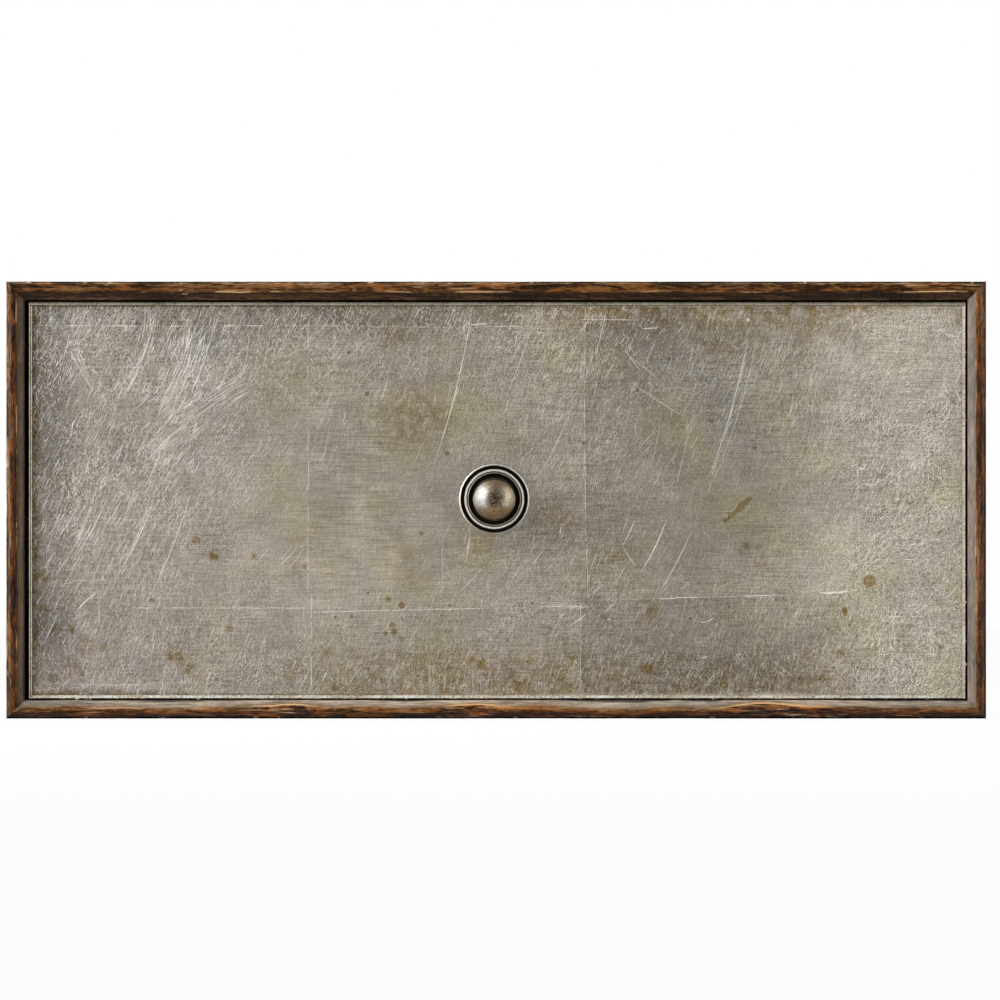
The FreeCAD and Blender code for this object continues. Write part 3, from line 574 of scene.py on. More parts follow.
class PewterPaint(Paint):
    """Antique pewter: burnished, with painted highlights on the high rings, black patina and
    painted shade in the grooves, and painted reflections on the dome.
    """

    def __init__(self):
        super().__init__("antique_pewter")
        self.at = self.place()
        x, _, z = self.parts(self.at)
        self.across, self.up = x - KNOB_X, z - KNOB_Z
        self.cloud = self.noise(self.at, 240.0, 5.0, 0.65)
        self.fine = self.noise(self.at, 1100.0, 3.0, 0.6)
        self.speck = self.noise(self.at, 1500.0, 4.0, 0.7)
        # The distance from the knob's axis in millimetres, and as a share of 20.
        self.radius = (self.reach(self.across, self.up) * 1000.0 + (self.cloud - 0.5) * 0.5)
        self.share = self.radius / 20.0
        self.dome = self.spread(self.share, 0.555, 0.50)

    def rings(self):
        """The rose's rings, bright and dark in turn: the bright ones are painted highlights on
        burnished metal, the dark ones black patina deepened with painted shade.
        """
        dark, bright, light = tint(20, 14, 9), tint(180, 170, 148), tint(238, 232, 220)
        return self.ramp(
            self.share, (0.540, bright), (0.556, dark), (0.655, dark), (0.666, bright),
            (0.680, bright), (0.690, dark), (0.704, dark), (0.716, light), (0.756, light),
            (0.768, dark), (0.850, dark), (0.866, light))

    def dome_colour_and_reflections(self, colour):
        """The dome's painted reflections: a pale painted highlight at its left, lighter at its
        right, tan at its top, warm below, dark at its middle; with patina specks and pits.
        """
        across, up, speck, dome = self.across, self.up, self.speck, self.dome
        middle = self.reach((across - 0.0002) / 0.0050, (up - 0.0002) / 0.0066)
        # Painted reflections and highlight: the lamps at the left and right, the room above, and
        # the dark room in the middle; the first row is patina speckle.
        for share, tone in (
            (self.spread(speck + self.cloud, 0.92, 1.14) * 0.75, tint(100, 78, 48)),
            (self.spread(across, -0.0010, -0.0060) * 0.8, tint(182, 181, 182)),
            (self.spread(across, 0.0025, 0.0075) * 0.6, tint(206, 194, 168)),
            (self.spread(up, 0.0035, 0.0075) * self.spread(across, -0.0075, -0.0030) * 0.75,
             tint(150, 128, 100)),
            (self.spread(middle, 1.25, 0.40) * self.spread(speck, 0.42, 0.56, 0.55, 1.0),
             tint(46, 29, 13)),
        ):
            colour = self.mix(share * dome, colour, tone)
        colour = self.scale(colour, self.spread(self.fine, 0.3, 0.7, 0.84, 1.10))
        # Painted reflection of the warm floor below, speckled.
        golden = self.spread(up, -0.0020, -0.0065) * self.spread(speck, 0.42, 0.54, 0.45, 1.0)
        colour = self.mix(golden * 0.9 * dome, colour, tint(130, 94, 46))
        pits = self.spread(self.noise(self.at, 2100.0, 2.0), 0.54, 0.62)
        return self.mix(pits * 0.6 * dome, colour, tint(52, 38, 26))

    def shade(self, colour):
        """Painted shade: rings dimmer at the top and the bottom, and a black limb of painted
        shadow round the dome.
        """
        level = self.up * 1000.0 / self.radius
        outer = self.spread(self.share, 0.80, 0.84)
        dim = (self.spread(level, 0.3, 0.98) * (outer * 0.15 + 0.1)
               + self.spread(level, -0.3, -0.98) * (outer * 0.45 + 0.15))
        colour = self.mix(dim * (1.0 - self.dome), colour, tint(48, 38, 28))
        limb = self.share + self.larger(self.up * 4.0, self.up * -1.6)
        limb = self.spread(limb, 0.522, 0.545) * self.spread(self.share, 0.56, 0.55)
        return self.mix(limb * 0.92, colour, tint(18, 14, 11))

    def make(self):
        """The material, from all its layers."""
        colour = self.shade(self.dome_colour_and_reflections(self.rings()))
        rough = self.spread(self.cloud, 0.3, 0.7, 0.46, 0.58) + self.fine * 0.06
        return self.finish(colour, rough, self.fine, 0.00003, 0.35, Metallic=0.95)


# The leafed face

# Lengths here are in grid units, but in millimetres where a comment says so. A stroke or a
# seam is bright above 0 and dark below it.
SQUARE_EDGE = 24.0                        # how far in from its edges a square's tone changes
SPOT_REACH = 1.3                          # of a spot's stain, as a share of its radius
STEP_LENGTH = 14                          # of the straight steps that make up a bowed line
STROKE_SHARES = (0.06, 0.09, 0.13, 0.26)  # a stroke's length, as a share of its bundle's
DARK_STROKE = -0.35                       # the mark of a dark stroke
BRIGHT_SEAM = (0.50, 0.90)                # the lowest and highest mark of a bright length
DULL_SEAM = (0.12, 0.34)                  # and of a dull one
SHORTEST_SEAM = 1.5                       # a shorter length is left out
FLECKS = 520                              # places tried for bright and dark flecks
DOTS = 300                                # places tried for small brown dots
CRUMBS = 70                               # small loose bits of leaf
FLAKE_CORNERS = 9
FLAKE_FRONT = -0.1757                     # y, in metres, of the loose leaf's front and back
FLAKE_BACK = -0.1755
PANEL_COLUMNS = 118                       # of the points spread evenly over the face
PANEL_ROWS = 50
JOIN_GAP = 1e-4                           # points closer than this are one, in millimetres
KNOB_HOLE = 0                             # the hole's place in the list of outlines

SPOTS = (
    # u, v, radius and strength of each brown spot or hazy stain
    (367, 394, 2.2, 0.9), (427, 416, 2.0, 0.8), (447, 453, 2.4, 0.8), (349, 352, 2.0, 0.7),
    (588, 328, 3.2, 0.7), (584, 443, 2.2, 0.8), (711, 421, 2.0, 0.8), (669, 358, 2.0, 0.7),
    (755, 448, 2.0, 0.8), (807, 323, 4.0, 0.6), (943, 335, 2.4, 0.7), (741, 551, 4.0, 0.3),
    (747, 546, 5.0, 0.32), (758, 547, 5.0, 0.32), (738, 500, 6.0, 0.12), (869.6, 581, 6.6, 0.8),
    (845, 611, 2.6, 0.95), (845, 608.5, 2.4, 0.9), (845.5, 613.5, 2.3, 0.9), (850, 625, 1.5, 0.8),
    (401.6, 605, 3.6, 0.85), (388.6, 599, 3.6, 0.45), (392.4, 625, 3.0, 0.8),
    (394, 631.5, 3.0, 0.9), (385.5, 633, 2.4, 0.7), (401.6, 638.7, 2.6, 0.7),
    (402.7, 619.5, 1.6, 0.7), (351.8, 616.5, 2.0, 0.6), (338, 625.7, 1.6, 0.6),
    (374, 654.8, 1.9, 0.7), (335, 687.7, 3.4, 0.85), (273, 691.5, 3.6, 0.55),
    (285.5, 692.7, 3.0, 0.6), (304.4, 566.7, 2.6, 0.6), (253, 556, 3.6, 0.5),
    (280.6, 582, 2.6, 0.45), (367.9, 593, 1.4, 0.8), (421.5, 533, 2.2, 0.7),
    (436.8, 639.5, 2.2, 0.6), (462.9, 690.8, 1.8, 0.7), (196, 540, 4.4, 0.6),
    (214, 555, 6.4, 0.65), (152, 600, 3.4, 0.45), (228, 628, 5.4, 0.4), (72, 628, 6.0, 0.55),
    (53, 678, 5.0, 0.6), (46, 578, 6.0, 0.5), (43, 609, 7.0, 0.5), (55, 630, 8.0, 0.4),
    (84, 645, 11.0, 0.35), (104, 648, 6.0, 0.45), (70, 668, 14.0, 0.25), (175, 655, 12.0, 0.5),
    (188, 668, 9.0, 0.45), (196, 678, 6.0, 0.4), (82, 674, 3.0, 0.6), (476.6, 658.6, 10.0, 0.6),
    (483, 664, 7.0, 0.75), (518, 684, 13.0, 0.5), (326.6, 653, 8.0, 0.4), (530, 665, 11.0, 0.35),
    (290, 673, 11.0, 0.3), (372, 672, 30.0, 0.28), (440, 665, 26.0, 0.25), (571.9, 656, 6.0, 0.5),
    (559.6, 668.5, 5.0, 0.5), (551, 693, 5.0, 0.5), (647, 668.5, 12.0, 0.5), (611, 625, 5.0, 0.5),
    (604, 617, 6.0, 0.4), (650, 612, 18.0, 0.28), (608, 560, 20.0, 0.22), (492, 684, 4.0, 0.7),
    (550, 628, 2.4, 0.6), (521, 604, 2.2, 0.7), (532, 603, 1.8, 0.7), (522, 611, 2.0, 0.6),
    (918, 541, 2.2, 0.7), (941, 531, 3.4, 0.5), (840, 653.5, 5.0, 0.55), (800.4, 681, 4.2, 0.7),
    (820, 680, 8.0, 0.5), (736, 683, 7.0, 0.45), (722, 684, 4.0, 0.5), (748, 672, 5.0, 0.4),
    (810, 655, 10.0, 0.35), (941, 646.6, 2.4, 0.8), (953, 627, 3.0, 0.5), (725, 520, 2.6, 0.7),
    (760, 560, 12.0, 0.2), (415, 415, 44.0, 0.26), (395, 330, 26.0, 0.3), (720, 343, 26.0, 0.25),
    (800, 318, 34.0, 0.34), (560, 520, 34.0, 0.24), (410, 560, 40.0, 0.12), (170, 316, 30.0, 0.2),
    (300, 314, 24.0, 0.22), (500, 318, 26.0, 0.2), (640, 318, 26.0, 0.32), (36, 520, 9.0, 0.35),
    (36, 575, 9.0, 0.5), (36, 600, 8.0, 0.5), (37, 650, 9.0, 0.4), (480, 545, 24.0, 0.22),
    (60, 480, 12.0, 0.2), (960, 320, 9.0, 0.3), (905, 640, 10.0, 0.2),
)

BLOTS = (
    # Outline points (u, v) of larger stains and bright flakes, then how brown and how bright
    (((723.4, 521.3), (725.3, 522.4), (727.9, 520.3), (731.6, 517.6), (734.7, 515.0),
      (736.3, 512.6), (741.1, 511.1), (745.3, 507.6), (749.5, 502.4), (752.6, 498.7),
      (752.4, 496.4), (749.5, 496.4), (745.3, 498.5), (741.1, 501.8), (736.8, 506.6),
      (734.2, 510.3), (731.6, 512.4), (727.6, 512.2), (724.7, 510.8), (726.2, 512.8),
      (728.9, 514.2), (728.2, 516.6), (725.3, 518.7)), 0.8, 0.0),
    (((469, 324), (474, 323.6), (486, 322.6), (487, 323.8), (478, 324.8), (472, 325.0)), 0.0, 0.6),
    (((641, 328.6), (650, 327.2), (657, 327.2), (660, 326.4), (657, 328), (650, 328.8)), 0.0, 0.6),
    (((746, 318.6), (749, 317.8), (750.4, 319.6), (748, 321.4)), 0.0, 0.6),
    (((820, 592.6), (824, 592.0), (829, 592.6), (832, 591.0), (838, 591.6), (841, 590.6),
      (846, 590.8), (849.5, 591.6), (844, 592.4), (840, 593.6), (836, 592.8), (830, 594.2),
      (825, 593.4)), 0.0, 0.95),
)

LINES = (
    # u0, v0, u1, v1, bow and strength of each long scratch
    (156, 306, 124, 392, -5, 0.65), (190, 343, 162, 412, -2.8, 0.7),
    (216, 306, 188, 398, -4.4, 0.6), (228, 398, 118, 478, -8.8, 0.25),
    (240, 396, 150, 458, -6.6, 0.2), (205, 410, 140, 470, -4.4, 0.2),
    (472, 306, 434, 464, -3.9, 0.75), (531, 328, 507, 394, -1.1, 0.6),
    (576, 398, 538, 478, -1.7, 0.55), (749, 333, 711, 472, -3.3, 0.75),
    (757, 336, 722, 460, -3.3, 0.5), (337, 361, 322, 378, -1.7, 0.6),
    (388, 374, 379, 402, -1.7, 0.6), (631, 358, 662, 384, -1.7, 0.5),
    (633, 383, 684, 416, 1.1, 0.55), (188, 500, 147, 600, -3.3, 0.7),
    (153, 500, 122, 568, -2.2, 0.8), (106, 499, 80, 549, -1.7, 0.8),
    (121, 500, 108, 522, -0.6, 0.7), (64, 503, 47, 540, -1.1, 0.5), (80, 500, 55, 541, -1.7, 0.65),
    (95.5, 593, 74.5, 613, 1.1, 1.), (57, 613, 43, 643, -1.1, 0.7),
    (100, 562, 89.5, 582, -0.6, 0.5), (143, 552, 132, 567, -0.6, 0.5),
    (98.6, 599, 99.2, 626, 0, 0.6), (121, 519.4, 141, 519.2, 0, 0.4),
    (98, 518.3, 121, 518.6, 0, 0.35), (55, 683.6, 158, 685, 0.6, 0.45),
    (148, 507, 118, 575, -1.7, 0.55), (160, 510, 136, 560, -1.7, 0.5),
    (94, 501, 66, 560, -2.2, 0.5), (84, 545, 60, 590, -1.7, 0.5), (484, 566, 457, 593, -1.1, 0.55),
    (442, 529, 442.4, 592, 0, 0.35), (470, 528, 466, 562, -0.6, 0.7),
    (414.6, 662, 413.6, 692, 0.5, 0.35), (421, 674, 420, 694, -0.6, 0.3),
    (429.5, 652, 430.4, 695, 0.9, 0.42), (444.5, 676, 445, 695, 0.4, 0.25),
    (473.6, 668, 473, 695, 0.5, 0.45), (480.5, 672, 480.2, 695, -0.4, 0.35),
    (404, 660, 403, 672, 0.4, 0.3), (491, 668, 488, 694, 1.2, 0.35),
    (310, 668, 298, 690, -0.6, 0.5), (328, 668, 322, 682, -0.6, 0.6), (318, 645, 326, 640, 0, 0.5),
    (667, 519, 641, 572, -1.7, 0.95), (691.5, 531, 658, 594, -1.7, 0.7),
    (635, 519, 622.5, 546, -0.6, 0.75), (622.5, 546, 636, 566, 0.6, 0.6),
    (546, 545, 531.5, 565, -0.6, 0.65), (587, 613, 569, 626, -0.6, 0.8),
    (617, 599, 604, 614, -0.6, 0.5), (706, 622, 714, 617, 0.6, 0.9),
    (700, 622.4, 706, 622, 0, 0.8), (607, 619.4, 611, 618.6, 0, 1.),
    (702, 657.5, 708, 656.6, 0, 0.9), (607, 306, 596, 352, -0.6, 0.6),
    (515, 508, 505, 530, -0.6, 0.4), (561, 527, 560, 534, 0, 0.8), (556, 560, 545, 572, 0, 0.4),
    (270, 545, 256, 562, -1.1, 0.5), (297, 546, 280, 565, -1.1, 0.6),
    (303, 548, 286, 570, -1.7, 0.5), (292, 545, 278, 560, -1.1, 0.45),
    (785, 520, 838, 553, -2.2, 0.25), (788, 655, 792, 672, 0, 0.25),
    (760, 652, 800, 683, -1.1, 0.4), (716, 590, 738, 580, -1.1, 0.4), (958, 585, 950, 596, 0, 0.9),
    (906, 617, 882, 618, 1.1, 0.8), (820, 336, 806, 400, -1.1, 0.4),
    (838, 398, 816, 476, -2.2, 0.45), (250, 330, 236, 395, -1.7, 0.4),
    (272, 318, 262, 372, -1.1, 0.35), (662, 410, 650, 470, -1.1, 0.35),
    (690, 420, 676, 486, -1.1, 0.35), (600, 360, 588, 420, -1.1, 0.35),
    (455, 512, 438, 548, -1.1, 0.3), (330, 420, 320, 470, -1.1, 0.35),
    (214, 500, 205, 530, 0.6, 0.45), (183, 500, 192, 534, -1.1, 0.3),
)

SWEEPS = (
    # u, v, width and height of a field; mean slope, its spread, bow, length, count and strength
    (100, 350, 105, 85, 68, 9, 0.10, 26, 95, 0.55), (200, 350, 90, 85, 72, 8, 0.10, 26, 70, 0.5),
    (70, 430, 70, 110, 66, 10, 0.10, 24, 75, 0.55),
    (150, 440, 100, 100, 55, 12, 0.16, 26, 90, 0.5), (95, 540, 110, 90, 63, 7, 0.06, 24, 95, 0.55),
    (60, 600, 60, 70, 58, 16, 0.08, 12, 45, 0.4), (225, 460, 70, 90, 64, 12, 0.10, 20, 40, 0.4),
    (330, 400, 120, 170, 66, 14, 0.10, 16, 60, 0.35),
    (465, 400, 130, 180, 70, 12, 0.08, 18, 70, 0.38),
    (560, 400, 90, 170, 64, 12, 0.08, 18, 70, 0.4),
    (640, 400, 110, 180, 66, 16, 0.12, 18, 80, 0.38),
    (740, 400, 110, 180, 70, 10, 0.10, 22, 85, 0.42),
    (820, 420, 80, 200, 64, 18, 0.15, 14, 80, 0.4),
    (905, 350, 110, 90, 60, 26, 0.25, 12, 120, 0.5),
    (915, 460, 96, 130, 64, 24, 0.30, 12, 170, 0.5),
    (912, 570, 96, 90, 60, 28, 0.30, 10, 130, 0.5),
    (908, 655, 104, 76, 56, 26, 0.34, 11, 190, 0.6), (560, 560, 90, 80, 58, 16, 0.10, 12, 60, 0.4),
    (530, 610, 90, 60, 56, 22, 0.12, 8, 60, 0.4), (640, 560, 100, 90, 60, 14, 0.10, 16, 50, 0.4),
    (300, 640, 120, 90, 74, 18, 0.06, 9, 60, 0.35), (440, 650, 120, 80, 84, 8, 0.04, 12, 60, 0.4),
    (200, 630, 120, 100, 84, 20, 0.05, 9, 60, 0.3), (700, 650, 200, 80, 52, 26, 0.10, 8, 70, 0.3),
    (180, 600, 200, 120, 88, 4, 0.02, 14, 30, 0.25),
    (500, 330, 420, 44, 64, 16, 0.08, 12, 90, 0.35),
)

BUNDLES = (
    # u0, v0, u1, v1, bow, count, spread and strength of each bundle of close strokes
    (194, 310, 157, 417, -10, 34, 11, 1.0), (152, 308, 120, 396, -9, 26, 11, 0.8),
    (212, 308, 190, 372, -3, 9, 8, 0.7), (250, 380, 148, 456, 5, 60, 17, 0.7),
    (176, 330, 146, 404, -6, 14, 9, 0.7), (120, 400, 88, 470, -3, 12, 10, 0.6),
    (160, 450, 118, 530, -3, 14, 9, 0.65), (110, 470, 66, 560, -4, 16, 12, 0.65),
    (64, 318, 98, 396, 3, 14, 7, 0.55), (70, 330, 112, 384, 5, 12, 8, 0.5),
    (470, 310, 436, 462, -4, 6, 5, 0.6), (752, 336, 714, 470, -3, 7, 5, 0.7),
    (622, 345, 690, 400, 10, 16, 12, 0.45), (606, 308, 590, 380, 3, 8, 10, 0.4),
    (830, 330, 800, 440, 6, 10, 12, 0.4), (880, 310, 842, 400, 8, 14, 14, 0.45),
    (955, 330, 890, 420, 14, 22, 16, 0.5), (960, 420, 900, 500, 12, 20, 14, 0.5),
    (950, 500, 884, 570, 12, 18, 14, 0.45), (930, 596, 880, 640, 8, 16, 10, 0.55),
    (958, 640, 890, 690, 10, 24, 14, 0.6), (905, 640, 866, 690, 6, 16, 10, 0.5),
    (560, 520, 520, 580, 3, 12, 14, 0.4), (520, 560, 500, 610, 2, 8, 10, 0.4),
    (470, 524, 462, 566, 1, 7, 5, 0.6), (440, 640, 430, 695, 1, 10, 14, 0.4),
    (500, 650, 492, 695, 1, 10, 10, 0.45), (572, 612, 552, 640, 2, 8, 8, 0.45),
    (330, 630, 300, 690, 2, 8, 9, 0.35), (640, 520, 600, 600, 3, 8, 18, 0.3),
)

SEAMS = (
    # Points of each seam between leaf squares, and how much of its length shows bright
    (((37, 325.5), (200, 326), (308, 325), (420, 327), (545, 326)), 0.25),
    (((580, 319), (640, 319.5)), 0.5), (((113, 367), (145, 367.3)), 0.6),
    (((308.3, 308), (307.6, 380), (308.4, 445)), 0.7), (((308.0, 445), (307.9, 590)), 0.8),
    (((311.5, 594), (311.3, 640), (311, 690)), 0.55), (((585.5, 308), (584.5, 400)), 0.3),
    (((584.5, 400), (585.7, 520), (587.6, 570), (587.8, 598)), 0.75),
    (((580.6, 604), (580.8, 640), (580.4, 690)), 0.55),
    (((852, 308), (856, 400), (861, 590)), 0.45),
    (((132, 607.6), (260, 607.9), (305, 607.7)), 0.75),
    (((311, 611.9), (400, 610), (470, 608.5), (484, 608.3)), 0.85),
    (((540, 606.6), (580, 606.3)), 0.6),
    (((610, 600), (660, 598.4), (720, 596.6), (790, 594.8)), 0.6),
    (((820, 592.6), (842, 592.4), (858, 590)), 0.9), (((472, 629), (493, 629.4)), 0.5),
)

SQUARES = (
    # u, v of the low and high corner of each leaf square, its tone, how much lighter it gets
    # towards its right and lower edges, and how much darker at its left and upper ones
    (32, 302, 308, 326, 0.96, 0, 0), (32, 326, 308, 607.7, 1.02, 0, 0),
    (32, 607.7, 311.4, 699, 1.00, 0, 0), (308, 302, 585, 326, 0.93, 0, 0),
    (308, 326, 585.6, 609, 1.01, 0.07, 0), (311.4, 609, 580.6, 699, 1.02, 0, 0.05),
    (585, 302, 640, 319, 1.03, 0, 0), (585, 319, 854, 598, 0.94, 0.10, 0.05),
    (640, 302, 854, 319, 0.98, 0, 0), (580.6, 598, 861, 699, 0.91, 0, 0.06),
    (854, 302, 970, 592, 0.97, 0, 0.08), (861, 592, 970, 699, 1.01, 0, 0.04),
)

TONE_AND_SHADOW_PATCHES = (
    # u, v, reach along u and v, and how much lighter or darker each broad patch is; some are
    # painted shade, such as the knob's shadow and the dark bands along the top and left edges
    (90, 350, 26, 30, 0.10), (175, 390, 30, 40, 0.06), (842, 560, 50, 60, 0.38),
    (760, 675, 60, 30, -0.18), (56, 635, 22, 34, -0.30), (215, 345, 60, 22, -0.34),
    (270, 314, 130, 16, -0.18), (110, 682, 28, 14, 0.18), (340, 590, 90, 50, 0.10),
    (640, 338, 60, 24, -0.24), (850, 345, 35, 35, 0.16), (110, 390, 30, 60, 0.07),
    (56, 440, 24, 150, -0.20), (480, 682, 50, 16, -0.10), (690, 665, 60, 30, -0.08),
    (905, 470, 25, 110, 0.05), (885, 590, 25, 40, 0.08), (790, 316, 150, 12, 0.12),
    (430, 680, 40, 16, 0.10), (178, 350, 28, 24, -0.08), (350, 590, 50, 50, 0.08),
    (560, 314, 40, 12, 0.16), (795, 652, 50, 36, -0.13), (350, 560, 120, 90, 0.12),
    # (535, 527): the knob's painted shadow, to its lower right.
    (405, 320, 55, 22, -0.07), (535, 527, 55, 30, -0.15), (560, 315, 40, 20, 0.05),
)


def hump(u, v, middle_u, middle_v, reach_u, reach_v):
    """A soft round patch: 1 at its middle, and near 0 beyond its reach."""
    return math.exp(-((u - middle_u) / reach_u) ** 2 - ((v - middle_v) / reach_v) ** 2)


def face_tone_and_light(u, v):
    """How light the leaf is at a place: the broad change over the face and its dark bands. Much of
    it is painted light: a painted reflection lighter to the right, painted shade along the left
    and top edges, painted light along the bottom edge.
    """
    tone = 1.0 + 0.05 * smooth_step(120, 300, u) - 0.07 * smooth_step(520, 620, u)
    # Painted reflection: the face lighter towards the right.
    tone += 0.40 * smooth_step(700, 900, u) + 0.04 * smooth_step(420, 640, v)
    # Painted shade along the left edge, beside the bead and the frame.
    tone -= 0.20 * smooth_step(64, 36, u) + 0.30 * smooth_step(40.0, 34.0, u)
    tone += 0.10 * smooth_step(80, 240, u) * smooth_step(420, 330, v) * smooth_step(330, 240, u)
    tone -= 0.14 * smooth_step(350, 318, v) * smooth_step(560, 460, u) * smooth_step(60, 130, u)
    tone -= 0.14 * smooth_step(84, 60, u) * smooth_step(655, 630, v)
    # Painted light along the bottom edge, and painted shade along the top edge.
    tone += 0.10 * smooth_step(684, 694, v) - 0.13 * smooth_step(313, 304, v)
    tone += 0.24 * smooth_step(850, 880, u) * smooth_step(420, 340, v)
    tone += 0.06 * smooth_step(890, 930, u)
    return tone + sum(amount * hump(u, v, *patch) for *patch, amount in TONE_AND_SHADOW_PATCHES)


def face_stain_and_shade(u, v):
    """How brown the leaf is at a place: broad stains and the list of spots, with painted shade put
    in as brown along the top and left edges.
    """
    ragged = noise.noise(Vector((u * 0.35, v * 0.35, 3.0)))
    # Painted shade below the top bead, put in as brown.
    stain = 0.25 * smooth_step(312, 304, v)
    stain += 0.50 * smooth_step(615, 690, v) * smooth_step(230, 420, u) * smooth_step(890, 800, u)
    stain += 0.16 * smooth_step(345, 310, v) * smooth_step(120, 220, u)
    stain += 0.40 * smooth_step(365, 310, v) * smooth_step(480, 620, u) * smooth_step(900, 840, u)
    # Painted shade beside the left bead, put in as brown.
    stain += 0.80 * smooth_step(46, 33, u) * (0.75 + noise.noise(Vector((u * 0.1, v * 0.06, 8.0))))
    stain += 0.10 * hump(u, v, 610, 530, 90, 50)
    for spot_u, spot_v, radius, strength in SPOTS:
        away = math.hypot(u - spot_u, v - spot_v) / radius
        if away < SPOT_REACH:
            share = 0.45 if has_outline(radius, strength) else 1.6
            away *= 1.0 + 0.4 * ragged
            stain = max(stain, share * strength * smooth_step(SPOT_REACH, 0.1, away))
    return stain


def has_outline(radius, strength):
    """True for a spot that is dark and small enough to be cut out of the face."""
    return strength >= 0.55 and (radius <= 5.0 or strength >= 0.8)


def rub_field(u, v):
    """How strongly the cloth's strokes show at a place."""
    calm = hump(u, v, 360, 510, 120, 115)
    even = hump(u, v, 715, 505, 115, 105)
    left = smooth_step(320, 160, u) * smooth_step(560, 460, v)
    right = smooth_step(800, 900, u) * smooth_step(380, 440, v)
    top = smooth_step(400, 320, v) * (1.0 - 0.8 * smooth_step(560, 720, u))
    low = smooth_step(630, 690, v)
    return 0.85 - 0.50 * calm - 0.30 * even + 0.30 * max(left, right) + 0.28 * top + 0.22 * low


def square_tone(u, v):
    """The tone of the leaf square that a place is on."""
    for u0, v0, u1, v1, tone, lift, dip in SQUARES:
        if u0 <= u <= u1 and v0 <= v <= v1:
            tone += lift * (math.exp((u - u1) / SQUARE_EDGE) + math.exp((v - v1) / SQUARE_EDGE))
            tone -= dip * (math.exp((u0 - u) / SQUARE_EDGE) + math.exp((v0 - v) / SQUARE_EDGE))
            return tone
    return 1.0


def anticlockwise(ring):
    """A closed ring with its inside on the left of the way round."""
    area = sum(a.x * b.y - b.x * a.y for a, b in zip(ring, ring[1:] + ring[:1]))
    return ring if area > 0 else ring[::-1]


def sideways(way):
    """A step of length 1 across a way."""
    return Vector((-way.y, way.x)).normalized()


def strip(points, width, taper=True):
    """The outline of a thin stroke along points: a closed ring, in millimetres."""
    left, right = [], []
    last = len(points) - 1
    for index, point in enumerate(points):
        side = sideways(points[min(last, index + 1)] - points[max(0, index - 1)])
        full = 0.2 + 0.8 * math.sin(math.pi * index / last) if taper else 1.0
        left.append(point + side * (width / 2 * full))
        right.append(point - side * (width / 2 * full))
    return anticlockwise(left + right[::-1])


def ragged_ring(draw, middle, reach, count, least, most, turn=0.0):
    """A round outline, each of its points at a drawn share of the reach."""
    ring = []
    for k in range(count):
        angle = turn + k * math.tau / count
        step = Vector((math.cos(angle), math.sin(angle)))
        ring.append(middle + step * (reach * draw.uniform(least, most)))
    return ring


def grid_mm(u, v):
    """A grid place as a point of the face, in millimetres."""
    x, z = on_front(u, v)
    return Vector((x / MM, z / MM))


def curve_points(u0, v0, u1, v1, bow, steps):
    """Points along a bowed line between two grid places, in millimetres."""
    start, end = [Vector((u, min(FACE_LOW, max(FACE_TOP, v)))) for u, v in ((u0, v0), (u1, v1))]
    side = sideways(end - start)
    made = []
    for step in range(steps + 1):
        share = step / steps
        place = start.lerp(end, share) + side * (bow * 4.0 * share * (1.0 - share))
        made.append(grid_mm(place.x, place.y))
    return made


def fine_mark(draw, strength, extra, power):
    """How bright a fine stroke is. One in five is dark instead."""
    if draw.random() < 0.8:
        return min(1.0, strength * (0.5 + extra * draw.random() ** power))
    return DARK_STROKE


def line_strokes():
    """The long single scratches."""
    for u0, v0, u1, v1, bow, strength in LINES:
        steps = max(3, int(math.hypot(u1 - u0, v1 - v0) / STEP_LENGTH))
        points = curve_points(u0, v0, u1, v1, bow, steps)
        yield strip(points, 0.28 + 0.22 * strength), strength


def sweep_strokes(draw):
    """Short strokes spread over wide patches."""
    for u, v, wide, high, slope, spread, bow, length, count, strength in SWEEPS:
        for _ in range(count):
            middle_u = u + wide * (draw.random() - 0.5)
            middle_v = v + high * (draw.random() - 0.5)
            angle = math.radians(draw.gauss(slope, spread))
            half = length * draw.uniform(0.35, 1.0) / 2
            step_u, step_v = math.cos(angle) * half, -math.sin(angle) * half
            points = curve_points(middle_u + step_u, middle_v + step_v, middle_u - step_u,
                                  middle_v - step_v, -bow * half * draw.uniform(0.0, 1.4), 4)
            shown = fine_mark(draw, strength, 1.9, 3)
            yield strip(points, draw.uniform(0.15, 0.28)), shown


def bundle_strokes(draw):
    """Close strokes that run side by side."""
    for u0, v0, u1, v1, bow, count, spread, strength in BUNDLES:
        way = Vector((u1 - u0, v1 - v0))
        side = sideways(way)
        for _ in range(int(count * 2.6)):
            start = draw.uniform(0.0, 0.88)
            length = draw.choice(STROKE_SHARES) * draw.uniform(0.7, 1.3)
            end = min(1.0, start + length)
            off = draw.gauss(0, spread / 1.8)
            points = []
            for step in range(5):
                share = start + (end - start) * step / 4
                bent = off + bow * 4 * share * (1 - share)
                place = Vector((u0, v0)) + way * share + side * bent
                points.append(grid_mm(place.x, place.y))
            shown = fine_mark(draw, strength, 1.3, 2)
            yield strip(points, draw.uniform(0.15, 0.27)), shown


def seam_strokes(draw):
    """The seams between leaf squares, broken into short bright and dull lengths."""
    for points, shown in SEAMS:
        for start, end in zip(points, points[1:]):
            yield from seam_lengths(draw, Vector(start), Vector(end), shown)


